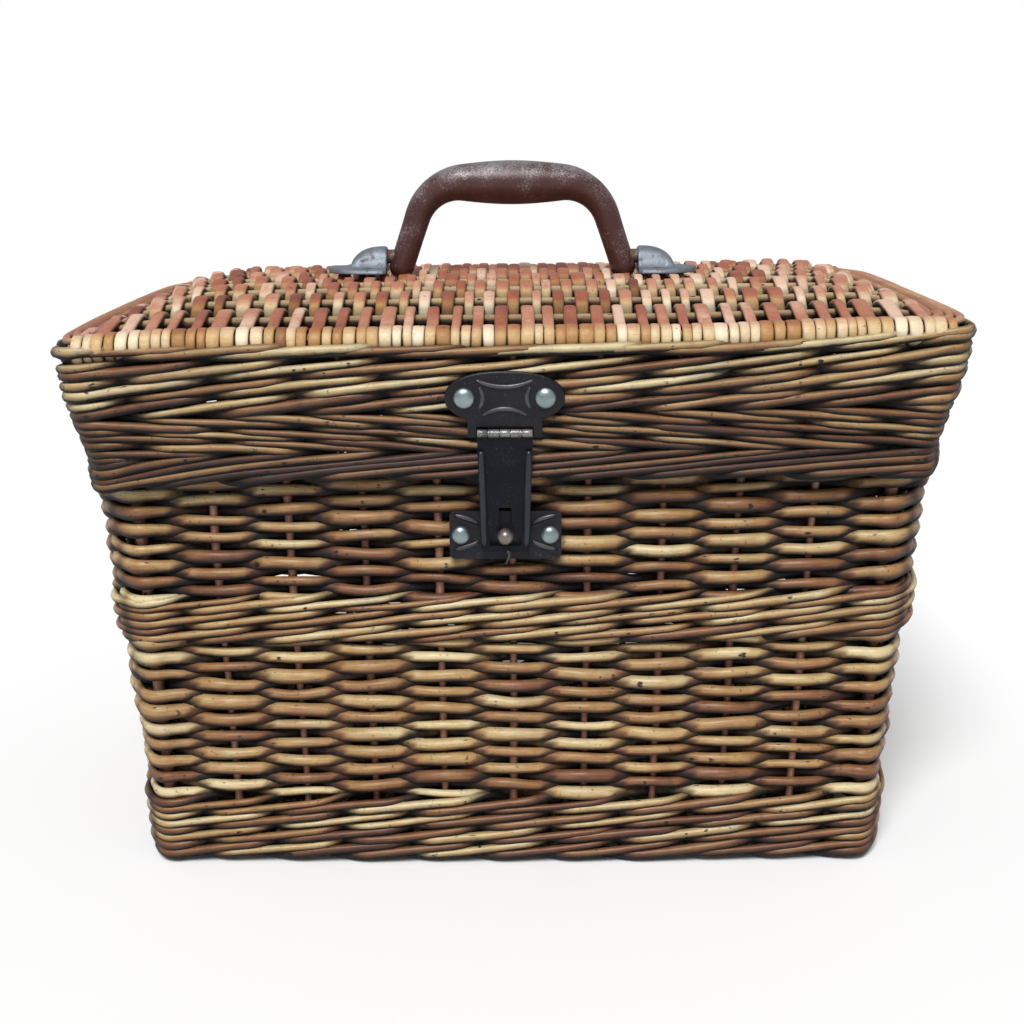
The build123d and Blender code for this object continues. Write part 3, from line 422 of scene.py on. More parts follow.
def willow(name, tones, gloss=0.40, shade_strength=1.0):
    """Varnished buff willow: each rod has its own tone, drifting along it, with fine grain, dark
    knots and specks and purple stains. Painted shade turns it near black in its creases and on
    faces turned from the light, and a painted highlight makes it paler where a face looks out and
    up."""
    material, paint, shader = finish(name)
    tone, along, across, shelter = map(paint.attribute, ("tone", "along", "round", "shelter"))
    place = paint.node("ShaderNodeTexCoord", output="Object")
    slow = paint.noise(paint.vector(along * 22.0, tone * 40.0, 0.0), 1.0, 3.0, 0.6)
    patches = paint.noise(place, 70.0, 4.0, 0.6)
    grain = paint.noise(paint.vector(along * 30.0, across * 3.0, tone * 90.0), 4.0, 4.0, 0.65)
    shade = tone + (slow - 0.5) * 0.70 + (patches - 0.5) * 0.50 + (grain - 0.5) * 0.55
    # Painted highlight: the tone is raised where a face gets little painted shade and lowered where
    # it gets much.
    wear_and_highlight = paint.span(shelter, 0.0, 0.40, 0.18, -0.08)
    ramp = paint.node("ShaderNodeValToRGB", {"stops": tones}, {0: shade + wear_and_highlight})
    knots = paint.noise(paint.vector(along * 120.0, across * 1.6, tone * 70.0), 1.6, 1.0, 0.4)
    knot_mask = paint.span(knots, 0.72, 0.78)
    specks = paint.noise(place, 420.0, 2.0, 0.6)
    speck_mask = paint.span(specks, 0.64, 0.74, 0.0, 0.7)
    stain = paint.noise(place, 17.0, 2.0, 0.5)
    stain_mask = paint.span(stain, 0.45, 0.80, 0.0, 0.35)
    stained = paint.mix(stain_mask, ramp, stain_purple)
    dark = paint.math("MAXIMUM", knot_mask, speck_mask)
    colour = paint.mix(dark, stained, knot_brown)
    # Painted shade: near black in the creases and on faces turned from the light, broken up by
    # patches.
    crease_shade = shelter + (patches - 0.5) * 0.6
    colour = paint.mix(paint.span(crease_shade, 0.05, 0.68, 0.0, shade_strength), colour, shade_black)
    rough = gloss + (grain - 0.5) * 0.25 + dark * 0.2 + shelter * 0.35
    height = grain * 0.6 + patches * 0.6 - knot_mask * 0.6
    cover(paint, shader, colour, rough, height, 0.8, 0.0009)
    plug(paint.span(shelter, 0.0, 0.6, 0.25, 0.0), shader["Coat Weight"])
    shader["Specular IOR Level"].default_value = 0.30
    shader["Coat Roughness"].default_value = 0.30
    return material


wall_willow = willow("varnished_willow", willow_tones)
stick_tones = [
    (0.0, (0.075, 0.026, 0.018)),
    (0.4, (0.190, 0.070, 0.042)),
    (0.75, (0.330, 0.150, 0.095)),
    (1.0, (0.480, 0.290, 0.190)),
]
stick_willow = willow("reddish_stake_willow", stick_tones, 0.50, 0.8)


def stand(piece, material, body, slot, *nodes):
    """Give a piece its finish and its body, and hide any nodes that it stands for. Its slot is not
    used.
    """
    piece.data.materials.append(material)
    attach(piece, body)
    if nodes:
        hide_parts(*nodes)


def walled(turn, z, offset, plan_at, inset):
    """Middle line and outward direction of rods at an offset from the line of stakes."""
    shape = plan_at(z, inset)
    x, y = plan(turn, *shape)
    out_x, out_y = plan_outward(turn, *shape)
    middle = np.stack([x + out_x * offset, y + out_y * offset, z], axis=-1)
    return middle, np.stack([out_x, out_y, np.zeros_like(out_x)], axis=-1)


def standing_rods(name, turns, plan_at, inset, low, high, radius, rng, on_lid=False):
    """Upright rods at turns of the plan: straight lines between two heights with a
    slow waver in place and thickness."""
    share = np.linspace(0, 1, 40)
    turn = np.asarray(turns, float)[:, None] + drift(rng, len(turns), share, 5) * stake_waver
    z = low + (high - low) * share + 0 * turn
    middle, outward = walled(turn, z, 0.0, plan_at, inset)
    thick = radius * (1 + 0.16 * drift(rng, len(turns), share, 6))
    tone = rng.uniform(0.25, 0.75, (len(turns), 1))
    return rods_mesh(name, middle, outward, thick, thick, tone, on_lid=on_lid)


rng = np.random.default_rng(11)
side_turns = {
    "front_stakes": range(1, long_gaps),
    "right_stakes": range(long_gaps + 1, corner_turns[2]),
    "back_stakes": range(corner_turns[2] + 1, corner_turns[3]),
    "left_stakes": range(corner_turns[3] + 1, round_gaps),
}
for node, turns in side_turns.items():
    piece = standing_rods(
        "willow_" + node, turns, body_plan, stake_inset, *stake_ends, stake_radius, rng
    )
    stand(piece, stick_willow, "basket", "willow_stick", node)
piece = standing_rods(
    "willow_corner_posts", corner_turns, body_plan, stake_inset, *post_ends, post_radius, rng
)
stand(piece, stick_willow, "basket", "willow_stick", "corner_posts")


# Randing of the body: single weavers that pass in front of one stake and behind the
# next, packed so that each shows as long spindles between the rows above and below.
# A row is made of several rods, joined butt to tip where they lie behind a stake.

lower_band = (0.0395, 0.1366)
upper_band = (0.1568, 0.2265)
randing_pitch = 0.00525
rod_radius = 0.0032
row_wander = 0.0010
crest_lift = 0.0007
stroke_slant = 0.0011
corner_stand_out = 0.0018
swing_share = 0.75
squeezed = 0.8
back_turn = 21.3
passes_per_rod = 5
rings_per_gap = 9
corner_rings = 8
start_scatter = 12
overlap_rings = 3


def round_stations():
    """Turns at which the rods of a round have a ring: evenly spaced, and closer
    together near the corners, where the rods fold."""
    even = np.arange(0, round_gaps, 1 / rings_per_gap)
    near = np.arange(-corner_rings, corner_rings + 1) / plan_steps
    turns = np.concatenate([even] + [corner + near for corner in corner_turns])
    return np.unique(np.round(np.mod(turns, round_gaps), 4))


def started(rods, rng):
    """Turns along rods that each start somewhere at the back and end a little past
    their start, with how far along each ring is, from 0 to 1."""
    turns = round_stations()
    count = len(turns)
    scatter = rng.integers(-start_scatter, start_scatter, rods)
    first = np.searchsorted(turns, back_turn) + scatter
    index = first[:, None] + np.arange(count + overlap_rings)
    turn = turns[index % count] + round_gaps * (index // count)
    return turn, (turn - turn[:, :1]) / round_gaps


def spliced(place, rng):
    """Rods joined end to end where they lie hidden: place counts the strokes, and a new
    rod starts every few of them. Gives each ring its rod's number and how far it is
    from the thick butt to the thin tip."""
    through = (place + rng.integers(0, passes_per_rod, (len(place), 1))) / passes_per_rod
    return np.floor(through).astype(int), np.mod(through, 1)


def drawn_for(numbers, low, high, rng):
    """A random value between two limits for each number that a row's rings have."""
    numbers = numbers - numbers.min()
    values = rng.uniform(low, high, (len(numbers), numbers.max() + 1))
    return np.take_along_axis(values, numbers, axis=1)


def rod_tones(piece_of, stroke_of, low, high, rng):
    """One tone for each rod between two limits, and a little change at each stroke."""
    return drawn_for(piece_of, low, high, rng) + drawn_for(stroke_of, -0.10, 0.10, rng)


def randing(name, low, high, plan_at, inset, tones, shade, rng):
    """Rows of rods round the body. A rod's distance from the line of stakes is a
    cosine of the turn, one half wave to a gap, and rows alternate. Round a corner
    post it stands further out and is pinched flat."""
    rows = math.ceil((high - low) / randing_pitch)
    pitch = (high - low) / rows
    turn, share = started(rows, rng)
    row = np.arange(rows)[:, None]
    stroke = (turn + row - 1) / 2
    piece_of, from_butt = spliced(stroke, rng)
    sizes = drawn_for(piece_of, 0.84, 1.15, rng)
    radius = rod_radius * (1.16 - 0.30 * from_butt + 0.12 * drift(rng, rows, share, 60))
    radius = radius * sizes
    wave = np.cos(np.pi * (turn + row))
    pinch = corner_nearness(turn)
    swing = swing_share * (stake_radius + radius * squeezed)
    offset = wave * (swing + pinch * (post_radius - stake_radius + corner_stand_out))
    z = low + (row + 0.5) * pitch + row_wander * drift(rng, rows, share, 45)
    z = z + wave * (crest_lift + stroke_slant * drift(rng, rows, share, 32))
    middle, outward = walled(turn, z, offset, plan_at, inset)
    tone = rod_tones(piece_of, np.floor(stroke).astype(int), *tones, rng)
    width = radius * (0.98 + 0.06 * wave + 0.18 * pinch)
    depth = radius * (0.95 - 0.30 * pinch)
    # shade is painted shade, with more in the fold beside each corner post.
    return rods_mesh(
        name, middle, outward, width, depth, tone, side_out=np.clip(wave * 2.4, -1, 1),
        shade=shade + fold_shade(turn),
    )


rng = np.random.default_rng(23)
piece = randing(
    "willow_lower_randing", *lower_band, body_plan, stake_inset, (0.16, 0.82), 0.02, rng
)
stand(piece, wall_willow, "basket", "willow_wall", "lower_weave")
# The upper rows get darker tones and more shade than the lower: painted shadow of the overhanging
# lid.
piece = randing(
    "willow_upper_randing", *upper_band, body_plan, stake_inset, (0.12, 0.74), 0.08, rng
)
stand(piece, wall_willow, "basket", "willow_wall", "upper_weave")


# Three-rod wale of the body: bands of rods worked in threes, each passing in front of
# two stakes and behind the third, so that long slanting strokes lie over each other
# like a rope. One band binds the foot and one the middle of the wall.

bottom_wale_band = (0.0042, 0.0400)
bottom_wale_radius = 0.0024
middle_wale_band = (0.1352, 0.1608)
middle_wale_radius = 0.0023
body_wale_proud = 0.001
wale_wander = 0.0008
coming_out = 0.9
inner_light = 0.55


def wale(name, low, high, rounds, plan_at, inset, slant, rng, radius, stroke=3, rise=1.15,
         tones=(0.20, 0.85), proud=0.0, on_lid=False, shade=0.16, top_rise=None):
    """Rods in rounds, as many to a round as a stroke has stakes. The phase runs 0 to 1
    over a stroke. At 0 the rod is behind a stake; it comes out by a smooth step, and
    its height climbs evenly over the stroke and falls back behind the stake. The top
    round may climb less."""
    count = rounds * stroke
    pitch = (high - low) / rounds
    turn, share = started(count, rng)
    index = np.arange(count)[:, None]
    layer = index // stroke
    strokes = (turn - index % stroke) / stroke
    phase = np.mod(strokes, 1.0)
    piece_of, from_butt = spliced(strokes, rng)
    out = eased(np.clip(np.minimum(phase, 1 - phase) * stroke / coming_out, 0, 1))
    thick = radius * (1.12 - 0.26 * from_butt + 0.10 * drift(rng, count, share, 40))
    thick = thick * rng.uniform(0.9, 1.1, (count, 1))
    pinch = corner_nearness(turn)
    behind = -(stake_radius + radius * squeezed)
    in_front = stake_radius + radius * 1.1 + proud + pinch * (post_radius - stake_radius)
    offset = behind + (in_front - behind) * out
    climb = np.interp(phase, [0, 0.1, 0.9, 1], [0, -0.5, 0.5, 0])
    rises = np.where(layer == rounds - 1, rise if top_rise is None else top_rise, rise)
    z = low + (layer + 0.5) * pitch + slant * climb * pitch * rises
    z = z + wale_wander * drift(rng, count, share, 30)
    middle, outward = walled(turn, z, offset, plan_at, inset)
    tone = rod_tones(piece_of, np.floor(strokes).astype(int), *tones, rng)
    width = thick * (1 + 0.15 * pinch)
    depth = thick * (1 - 0.25 * pinch)
    # shade is painted shade, with more in the fold beside each corner post.
    return rods_mesh(
        name, middle, outward, width, depth, tone, side_out=2 * out - 1, on_lid=on_lid,
        shade=shade + fold_shade(turn), inside=inner_light,
    )


rng = np.random.default_rng(31)
piece = wale(
    "willow_bottom_wale", *bottom_wale_band, 4, body_plan, stake_inset, 1, rng,
    bottom_wale_radius, tones=(0.12, 0.84), proud=body_wale_proud, shade=0.20,
)
stand(piece, wall_willow, "basket", "willow_wall", "bottom_wale")
piece = wale(
    "willow_middle_wale", *middle_wale_band, 3, body_plan, stake_inset, 1, rng,
    middle_wale_radius, proud=body_wale_proud,
)
stand(piece, wall_willow, "basket", "willow_wall", "middle_wale")


# Border of the body: the stakes' tips laid down and plaited along the top edge, which
# the closed lid hides. It shows as a low rope when the lid is open.

body_border_band = (0.2295, 0.2370)
body_border_radius = 0.0024
body_border_inset = 0.0083
tucked_bulge = 0.008


def tucked_plan(z, inset):
    """Corner of the body's top edge, with ends drawn in so that the lid clears them."""
    corner_x, corner_y, _ = body_plan(z, inset)
    return corner_x, corner_y, tucked_bulge


rng = np.random.default_rng(37)
piece = wale(
    "willow_body_border", *body_border_band, 1, tucked_plan, body_border_inset, 1, rng,
    body_border_radius, rise=0.5,
)
stand(piece, wall_willow, "basket", "willow_wall", "body_border")


# Floor: pale weavers that run from front to back over and under sticks that run from
# end to end. Their pale undersides show through the lower rows of the wall.

floor_middle = 0.0115
floor_half = (0.1935, 0.1195)
floor_stick_pitch = 0.024
floor_sticks_per_side = 4
floor_stick_radius = 0.0026
floor_stick_past = 0.004
lying_stick_waver = 0.0007
floor_weaver_pitch = 0.0066
floor_weaver_halves = (0.0027, 0.0031)
floor_weaver_depth = 0.0019
floor_weaver_waver = 0.0004
floor_lift = 0.0040


def floor_level(x, y):
    """Middle of the floor, which is flat."""
    return np.full_like(x, floor_middle)


def over_and_under(y, stick_places, sides):
    """How high rods along Y lie over sticks along X: a side, 1 over a stick and -1
    under it, at each stick and a smooth step between sticks."""
    at = np.interp(y, stick_places, np.arange(len(stick_places)))
    low = np.clip(np.floor(at).astype(int), 0, len(stick_places) - 2)
    part = eased(at - low)
    before = np.take_along_axis(sides, low, axis=1)
    after = np.take_along_axis(sides, low + 1, axis=1)
    return before * (1 - part) + after * part


def turn_about(rods, sticks):
    """Side of each rod at each stick, 1 over it and -1 under it, in turn."""
    return (np.arange(rods)[:, None] + np.arange(sticks)) % 2 * 2.0 - 1.0


def floor_weavers(name, places, stick_places, rng):
    """Weavers along Y over and under the floor's sticks."""
    count = len(places)
    width = rng.uniform(*floor_weaver_halves, (count, 1))
    tone = rng.uniform(0.2, 0.9, (count, 1))
    share = np.linspace(0, 1, len(stick_places) * 8)
    y = floor_half[1] * (2 * share - 1) + np.zeros((count, 1))
    up = over_and_under(y, stick_places, turn_about(count, len(stick_places)))
    x = places[:, None] + floor_weaver_waver * drift(rng, count, share, 8)
    middle = np.stack([x, y, floor_level(x, y) + up * floor_lift], axis=-1)
    return rods_mesh(
        name, middle, pointing(middle, z=1), width, floor_weaver_depth, tone, side_out=up
    )


pale_tones = [
    (0.0, (0.300, 0.170, 0.085)),
    (0.5, (0.480, 0.320, 0.160)),
    (1.0, (0.660, 0.500, 0.290)),
]
pale_willow = willow("pale_floor_willow", pale_tones, 0.6)
rng = np.random.default_rng(41)
places = np.arange(-floor_half[0], floor_half[0], floor_weaver_pitch)
stick_places = np.arange(-floor_sticks_per_side, floor_sticks_per_side + 1) * floor_stick_pitch
piece = floor_weavers("willow_floor_weavers", places, stick_places, rng)
stand(piece, pale_willow, "basket", "willow_floor", "floor_weave")


def lying_sticks(name, y_places, half_length, level_at, radius, tone, rng, on_lid=True):
    """Sticks along X at places along Y, following a level, a little uneven."""
    share = np.linspace(0, 1, 120)
    waver = lying_stick_waver * drift(rng, len(y_places), share, 10)
    y = np.asarray(y_places)[:, None] + waver
    x = half_length * (2 * share - 1) + 0 * y
    middle = np.stack([x, y, level_at(x, y)], axis=-1)
    thick = radius * (1 + 0.12 * drift(rng, len(y_places), share, 9))
    return rods_mesh(
        name, middle, pointing(middle, z=1), thick, thick, tone, side_out=0.5, on_lid=on_lid
    )


piece = lying_sticks(
    "willow_floor_sticks", stick_places, floor_half[0] + floor_stick_past, floor_level,
    floor_stick_radius, rng.uniform(0.2, 0.8, (len(stick_places), 1)), rng, on_lid=False,
)
stand(piece, pale_willow, "basket", "willow_floor", "floor_sticks")


# Wall of the lid: short stakes, a wale of four rounds that slants up to the right over
# one of three rounds that slants down, and a heavy border of long strokes below them,
# which overhangs the body.

lid_stake_ends = (0.2395, 0.2960)
upper_wale_band = (0.2650, 0.3015)
upper_wale_radius = 0.0026
lower_wale_band = (0.2432, 0.2645)
lower_wale_radius = 0.0023
lid_border_band = (0.2290, 0.2435)
lid_border_radius = 0.0024
lid_border_inset = 0.0068
lid_border_top = 0.2423
lid_top = 0.2970
lid_border_half = (0.2275, 0.1442)
lid_step = 0.0012
lid_flare = 0.0065
lid_stake_inset = 0.0078
lid_stake_radius = 0.0021
lid_end_bow = 0.003
corner_fill = 1.6
lid_end_bulge = 0.012


def lid_plan(z, inset):
    """Corner of the flared lid wall at a height, a distance inside its face, and the
    bulge of its ends. The corners fill out towards the top."""
    share = (z - lid_border_top) / (lid_top - lid_border_top)
    grow = lid_step + lid_flare * share - inset
    bow = end_bow + (lid_end_bow - end_bow) * np.clip(share * corner_fill, 0, 1)
    half_x = lid_border_half[0] + grow
    return half_x - bow, lid_border_half[1] + grow - front_bow, lid_end_bulge


def border_plan(z, inset):
    """Corner of the lid's border, a distance inside its face, and its ends' bulge."""
    corner_x = lid_border_half[0] - inset - end_bow
    return corner_x + 0 * z, lid_border_half[1] - inset - front_bow, lid_end_bulge


rng = np.random.default_rng(53)
every_turn = [turn for turns in side_turns.values() for turn in turns] + corner_turns
piece = standing_rods(
    "willow_lid_stakes", every_turn, lid_plan, lid_stake_inset, *lid_stake_ends,
    lid_stake_radius, rng, on_lid=True,
)
stand(piece, stick_willow, "lid", "willow_stick", "lid_stakes")
piece = wale(
    "willow_lid_upper_wale", *upper_wale_band, 4, lid_plan, lid_stake_inset, 1, rng,
    upper_wale_radius, tones=(0.22, 0.96), on_lid=True, shade=0.21, top_rise=0.45,
)
stand(piece, wall_willow, "lid", "willow_wall", "lid_upper_wale")
piece = wale(
    "willow_lid_lower_wale", *lower_wale_band, 3, lid_plan, lid_stake_inset, -1, rng,
    lower_wale_radius, tones=(0.10, 0.76), on_lid=True, shade=0.27,
)
stand(piece, wall_willow, "lid", "willow_wall", "lid_lower_wale")
# The border's dark tones and heavy shade are painted shade: it curls inward under the lid's lower
# wale.
piece = wale(
    "willow_lid_border", *lid_border_band, 1, border_plan, lid_border_inset, 1, rng,
    lid_border_radius, stroke=5, rise=1.0, tones=(0.04, 0.56), on_lid=True, shade=0.34,
)
stand(piece, wall_willow, "lid", "willow_wall", "lid_border")


# Crown of the lid: sticks from end to end under weavers that run from front to back,
# over one stick and under the next. Every weaver wraps tightly over the thick edge
# stick in front and behind. The top is worn to a dusty red.

crown_edge = (0.2279, 0.1449)
crown_flat = 0.140
crown_low = 0.3045
crown_rise = 0.0200
crown_power = 2.6
plate_x = 0.092
plate_reach = 0.034
plate_dip = 0.0022
crown_stick_radius = 0.0031
crown_stick_pitch = 0.028
crown_sticks_per_side = 4
edge_stick_radius = 0.0042
edge_stick_y = 0.1412
edge_stick_z = 0.3015
edge_follow = 0.25
edge_blend = 0.012
weaver_depth = 0.0018
weaver_waver = 0.0005
weaver_widths = (0.0046, 0.0078)
weavers_drawn = 90
wrapped_crest = 0.9
wrapped_width = 0.92
wrap_under = math.radians(200)
wrap_sink = 0.9
crown_end_gap = 0.003
crown_stick_short = 0.012
edge_stick_short = 0.002


def crown_top(x, y):
    """Top of the dome: a low edge plus its rise times one less the cube root of the
    summed cubes of how far over the fall at the ends and towards the long sides is,
    less a shallow dip where each bracket's plate presses on it."""
    over_y = (np.abs(y) / crown_edge[1]) ** crown_power
    beyond = np.clip(np.abs(x) - crown_flat, 0, None) / (crown_edge[0] - crown_flat)
    over_x = beyond**crown_power
    fall = (over_x**3 + over_y**3) ** (1 / 3)
    near_plate = np.exp(-(((np.abs(x) - plate_x) / plate_reach) ** 4) - (y / plate_reach) ** 4)
    return crown_low + crown_rise * (1 - fall) - plate_dip * near_plate


def crown_middle(x, y):
    """Line of the crown's sticks, a weaver and half a stick below its top."""
    return crown_top(x, y) - 2 * weaver_depth - crown_stick_radius


def edge_level(x, y):
    """Line of the edge sticks, a little lower towards the ends of the dome."""
    drop = crown_top(x, 0 * x) - crown_top(0 * x, 0 * x)
    return edge_stick_z + np.minimum(drop, 0) * edge_follow


rng = np.random.default_rng(67)
widths = rng.uniform(*weaver_widths, weavers_drawn)
edges = np.cumsum(widths)
widths = widths[edges < 2 * (crown_edge[0] - crown_end_gap)]
places = np.cumsum(widths) - widths / 2
places -= (places[0] - widths[0] / 2 + places[-1] + widths[-1] / 2) / 2
inner = np.arange(-crown_sticks_per_side, crown_sticks_per_side + 1) * crown_stick_pitch
stick_places = np.concatenate([[-edge_stick_y], inner, [edge_stick_y]])
over = turn_about(len(places), len(stick_places))
over[:, [0, -1]] = 1.0


def crown_weavers(name, rng):
    """Weavers of the crown. Each starts under the front edge stick, goes round it by a
    circle, crosses the sticks up and down by smooth steps, and goes round the back
    edge stick in the same way. Crests are red, more so towards the back, and the wrap
    in front is red on its top alone."""
    count = len(places)
    wrap = rings_per_gap
    run = (len(inner) + 1) * rings_per_gap
    reach = edge_stick_radius + weaver_depth * wrap_sink
    down = np.linspace(wrap_under, 0, wrap)
    y_run = np.linspace(-edge_stick_y, edge_stick_y, run + 2)[1:-1]
    y_line = np.concatenate([
        -edge_stick_y - reach * np.sin(down), y_run, edge_stick_y + reach * np.sin(down[::-1]),
    ])
    share = np.linspace(0, 1, len(y_line))
    x = places[:, None] + weaver_waver * drift(rng, count, share, 9)
    y = y_line + 0 * x
    up = over_and_under(y, stick_places, over)
    z = crown_middle(x, y) + up * (crown_stick_radius + weaver_depth)
    edge_z = edge_level(places, 0)[:, None]
    round_z = edge_z + reach * np.cos(down)
    z[:, :wrap] = round_z
    z[:, -wrap:] = round_z[:, ::-1]
    blend = eased(np.clip((edge_stick_y - np.abs(y)) / edge_blend, 0, 1))
    top_of_edge = edge_z + reach
    z[:, wrap:-wrap] = (z * blend + top_of_edge * (1 - blend))[:, wrap:-wrap]
    middle = np.stack([x, y, z], axis=-1)
    outward = pointing(middle, z=1).copy()
    outward[:, :wrap, 1:] = np.stack([-np.sin(down), np.cos(down)], axis=-1)
    outward[:, -wrap:, 1:] = np.stack([np.sin(down), np.cos(down)], axis=-1)[::-1]
    width = widths[:, None] / 2 * (1 + 0.10 * drift(rng, count, share, 9))
    depth = weaver_depth * (1 + 0.15 * drift(rng, count, share, 9))
    tone = rng.uniform(0.26, 0.96, (count, 1)) + 0.22 * drift(rng, count, share, 10)
    wrapped = np.ones(len(y_line), bool)
    wrapped[wrap:-wrap] = False
    crest = np.where(wrapped, wrapped_crest, np.clip(up, -1, 1))
    width = width * (0.97 + 0.09 * crest)
    width[:, wrapped] *= wrapped_width
    red = 0.10 + 0.75 * np.clip((crest - 0.30) / 0.6, 0, 1)
    red = red + 0.35 * np.clip((y + 0.13) / 0.12, 0, 1)
    red[:, :wrap] = 0.55 * np.clip(np.cos(down) * 2.2 - 1.2, 0, 1)
    return rods_mesh(
        name, middle, outward, width, depth, tone, sides=12, blush=red, side_out=crest,
        on_lid=True, flatness=0.7,
    )


speck_black = (0.030, 0.020, 0.022, 1.0)


def crown_willow(name):
    """Willow of the crown: tan on the wrapped edge, dusty red on the crests above and ivory where
    its tone is pale, with black specks. Painted shade turns it near black in its creases and less
    red on faces turned from the light."""
    material, paint, shader = finish(name)
    tone, along, across, shelter = map(paint.attribute, ("tone", "along", "round", "shelter"))
    blush = paint.attribute("blush")
    place = paint.node("ShaderNodeTexCoord", output="Object")
    patches = paint.noise(place, 60.0, 3.0, 0.6)
    clouds = paint.noise(place, 14.0, 2.0, 0.5)
    grain = paint.noise(paint.vector(along * 40.0, across * 3.0, tone * 90.0), 4.0, 4.0, 0.65)
    shade = tone + (patches - 0.5) * 0.6 + (grain - 0.5) * 0.55
    tan = paint.node("ShaderNodeValToRGB", {"stops": [
        (0.0, (0.200, 0.085, 0.032)),
        (0.35, (0.430, 0.220, 0.075)),
        (0.65, (0.600, 0.410, 0.200)),
        (1.0, (0.810, 0.700, 0.500)),
    ]}, {0: shade})
    red = paint.node("ShaderNodeValToRGB", {"stops": [
        (0.0, (0.130, 0.034, 0.026)),
        (0.4, (0.340, 0.100, 0.055)),
        (0.75, (0.510, 0.215, 0.130)),
        (1.0, (0.730, 0.490, 0.360)),
    ]}, {0: shade})
    # The crests are less red where the painted shade is deep.
    crest = blush - shelter * 0.4 + (clouds - 0.5) * 0.9
    colour = paint.mix(paint.span(crest, 0.1, 0.75), tan, red)
    specks = paint.span(paint.noise(place, 330.0, 2.0, 0.6), 0.67, 0.75, 0.0, 0.7)
    colour = paint.mix(specks, colour, speck_black)
    # Painted shade: near black in the creases and on faces turned from the light, broken up by
    # patches.
    crease_shade = shelter + (patches - 0.5) * 0.4
    colour = paint.mix(paint.span(crease_shade, 0.10, 0.66, 0.0, 1.0), colour, shade_black)
    height = grain * 0.6 + patches * 0.4
    cover(paint, shader, colour, 0.48 + (grain - 0.5) * 0.3, height, 0.4, 0.0006)
    shader["Specular IOR Level"].default_value = 0.30
    shader["Coat Weight"].default_value = 0.12
    shader["Coat Roughness"].default_value = 0.35
    return material


crown_paint = crown_willow("worn_red_willow")
piece = crown_weavers("willow_crown_weavers", rng)
stand(piece, crown_paint, "lid", "willow_crown", "lid_crown")
piece = lying_sticks(
    "willow_crown_sticks", inner, crown_edge[0] - crown_stick_short, crown_middle,
    crown_stick_radius, rng.uniform(0.3, 0.8, (len(inner), 1)), rng,
)
stand(piece, pale_willow, "lid", "willow_stick", "crown_sticks")
piece = lying_sticks(
    "willow_edge_sticks", [-edge_stick_y, edge_stick_y], crown_edge[0] - edge_stick_short,
    edge_level, edge_stick_radius, np.array([[0.4], [0.5]]), rng,
)
stand(piece, pale_willow, "lid", "willow_stick", "lid_edge_sticks")

end_insets = [0.0005, 0.0050, 0.0095, 0.0140]
end_lifts = [-0.0035, -0.0025, -0.0020, -0.0020]
end_rod_radius = 0.0026
end_rod_rise = 0.0035


def end_rods(name, insets, lifts, radius, rng):
    """Long rods along Y that close the crown to the lid's bulging end walls. They
    follow the wall's plan, one less the tenth power of the share of the half depth,
    and rise to the middle by one less its cube."""
    stations = 120
    sign = np.repeat([-1.0, 1.0], len(insets))[:, None]
    inset = np.tile(insets, 2)[:, None]
    lift = np.tile(lifts, 2)[:, None]
    share = np.sin(np.linspace(-math.pi / 2, math.pi / 2, stations)) + 0 * sign
    corner_x, corner_y, bulge = lid_plan(lid_top, lid_stake_inset)
    y = share * (corner_y - inset)
    x = sign * (corner_x - inset + bulge * (1 - np.abs(share) ** end_fullness))
    z = crown_low + lift + end_rod_rise * (1 - np.abs(share) ** 3)
    middle = np.stack([x, y, z], axis=-1)
    knots = np.linspace(0, 1, stations)
    thick = radius * (1 + 0.1 * drift(rng, len(sign), knots, 8))
    tone = rng.uniform(0.25, 0.6, (len(sign), 1)) + 0.1 * drift(rng, len(sign), knots, 8)
    return rods_mesh(
        name, middle, pointing(middle, z=1), thick, thick, tone, blush=0.5, side_out=0.8,
        on_lid=True,
    )


piece = end_rods("willow_crown_ends", end_insets, end_lifts, end_rod_radius, rng)
stand(piece, crown_paint, "lid", "willow_crown")


# Handle: one steel bar with a full grip, enamelled dark red-brown. The enamel is worn
# to speckled steel along the top of the grip and the outside of the bends.

worn_heights = (0.345, 0.388)
enamel_dark = (0.032, 0.010, 0.009, 1.0)
enamel_brown = (0.100, 0.030, 0.024, 1.0)
rubbed_through = (0.36, 0.36, 0.38, 1.0)


def worn_enamel(name):
    """Dark brown enamel, worn to speckled steel where it faces up, most near the top."""
    material, paint, shader = finish(name)
    place = paint.node("ShaderNodeTexCoord", output="Object")
    fine = paint.noise(place, 900.0, 3.0, 0.7)
    broad = paint.noise(place, 70.0, 4.0, 0.6)
    up = upright(paint, paint.node("ShaderNodeNewGeometry", output="Normal"))
    high = paint.span(upright(paint, place), *worn_heights)
    rub = paint.span(up, -0.35, 0.75) * (0.65 + 0.35 * high)
    worn = rub * 0.42 + (broad - 0.5) * 1.1 + (fine - 0.5) * 1.6
    worn = paint.span(worn, 0.18, 0.60, 0.0, 0.72)
    enamel = paint.mix(broad, enamel_dark, enamel_brown)
    colour = paint.mix(worn, enamel, rubbed_through)
    cover(paint, shader, colour, 0.42 + (fine - 0.5) * 0.3, fine + broad, 0.25, 0.0003)
    plug(worn * 0.75, shader["Metallic"])
    return material


def paint_node(node, material):
    """Give a kept CAD node its finish."""
    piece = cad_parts[node]
    piece.data.materials.clear()
    piece.data.materials.append(material)


handle_pivot = 0.33149
handle_foot = (0.0660, -0.0060)
handle_corner = (0.0492, 0.0430)
handle_bend = 0.029
leg_radius = 0.0074
grip_radius = 0.0127


def mirrored(half, sign=1):
    """Half a row of numbers, and then the same backwards, times a sign."""
    return np.concatenate([half, sign * half[-2::-1]])


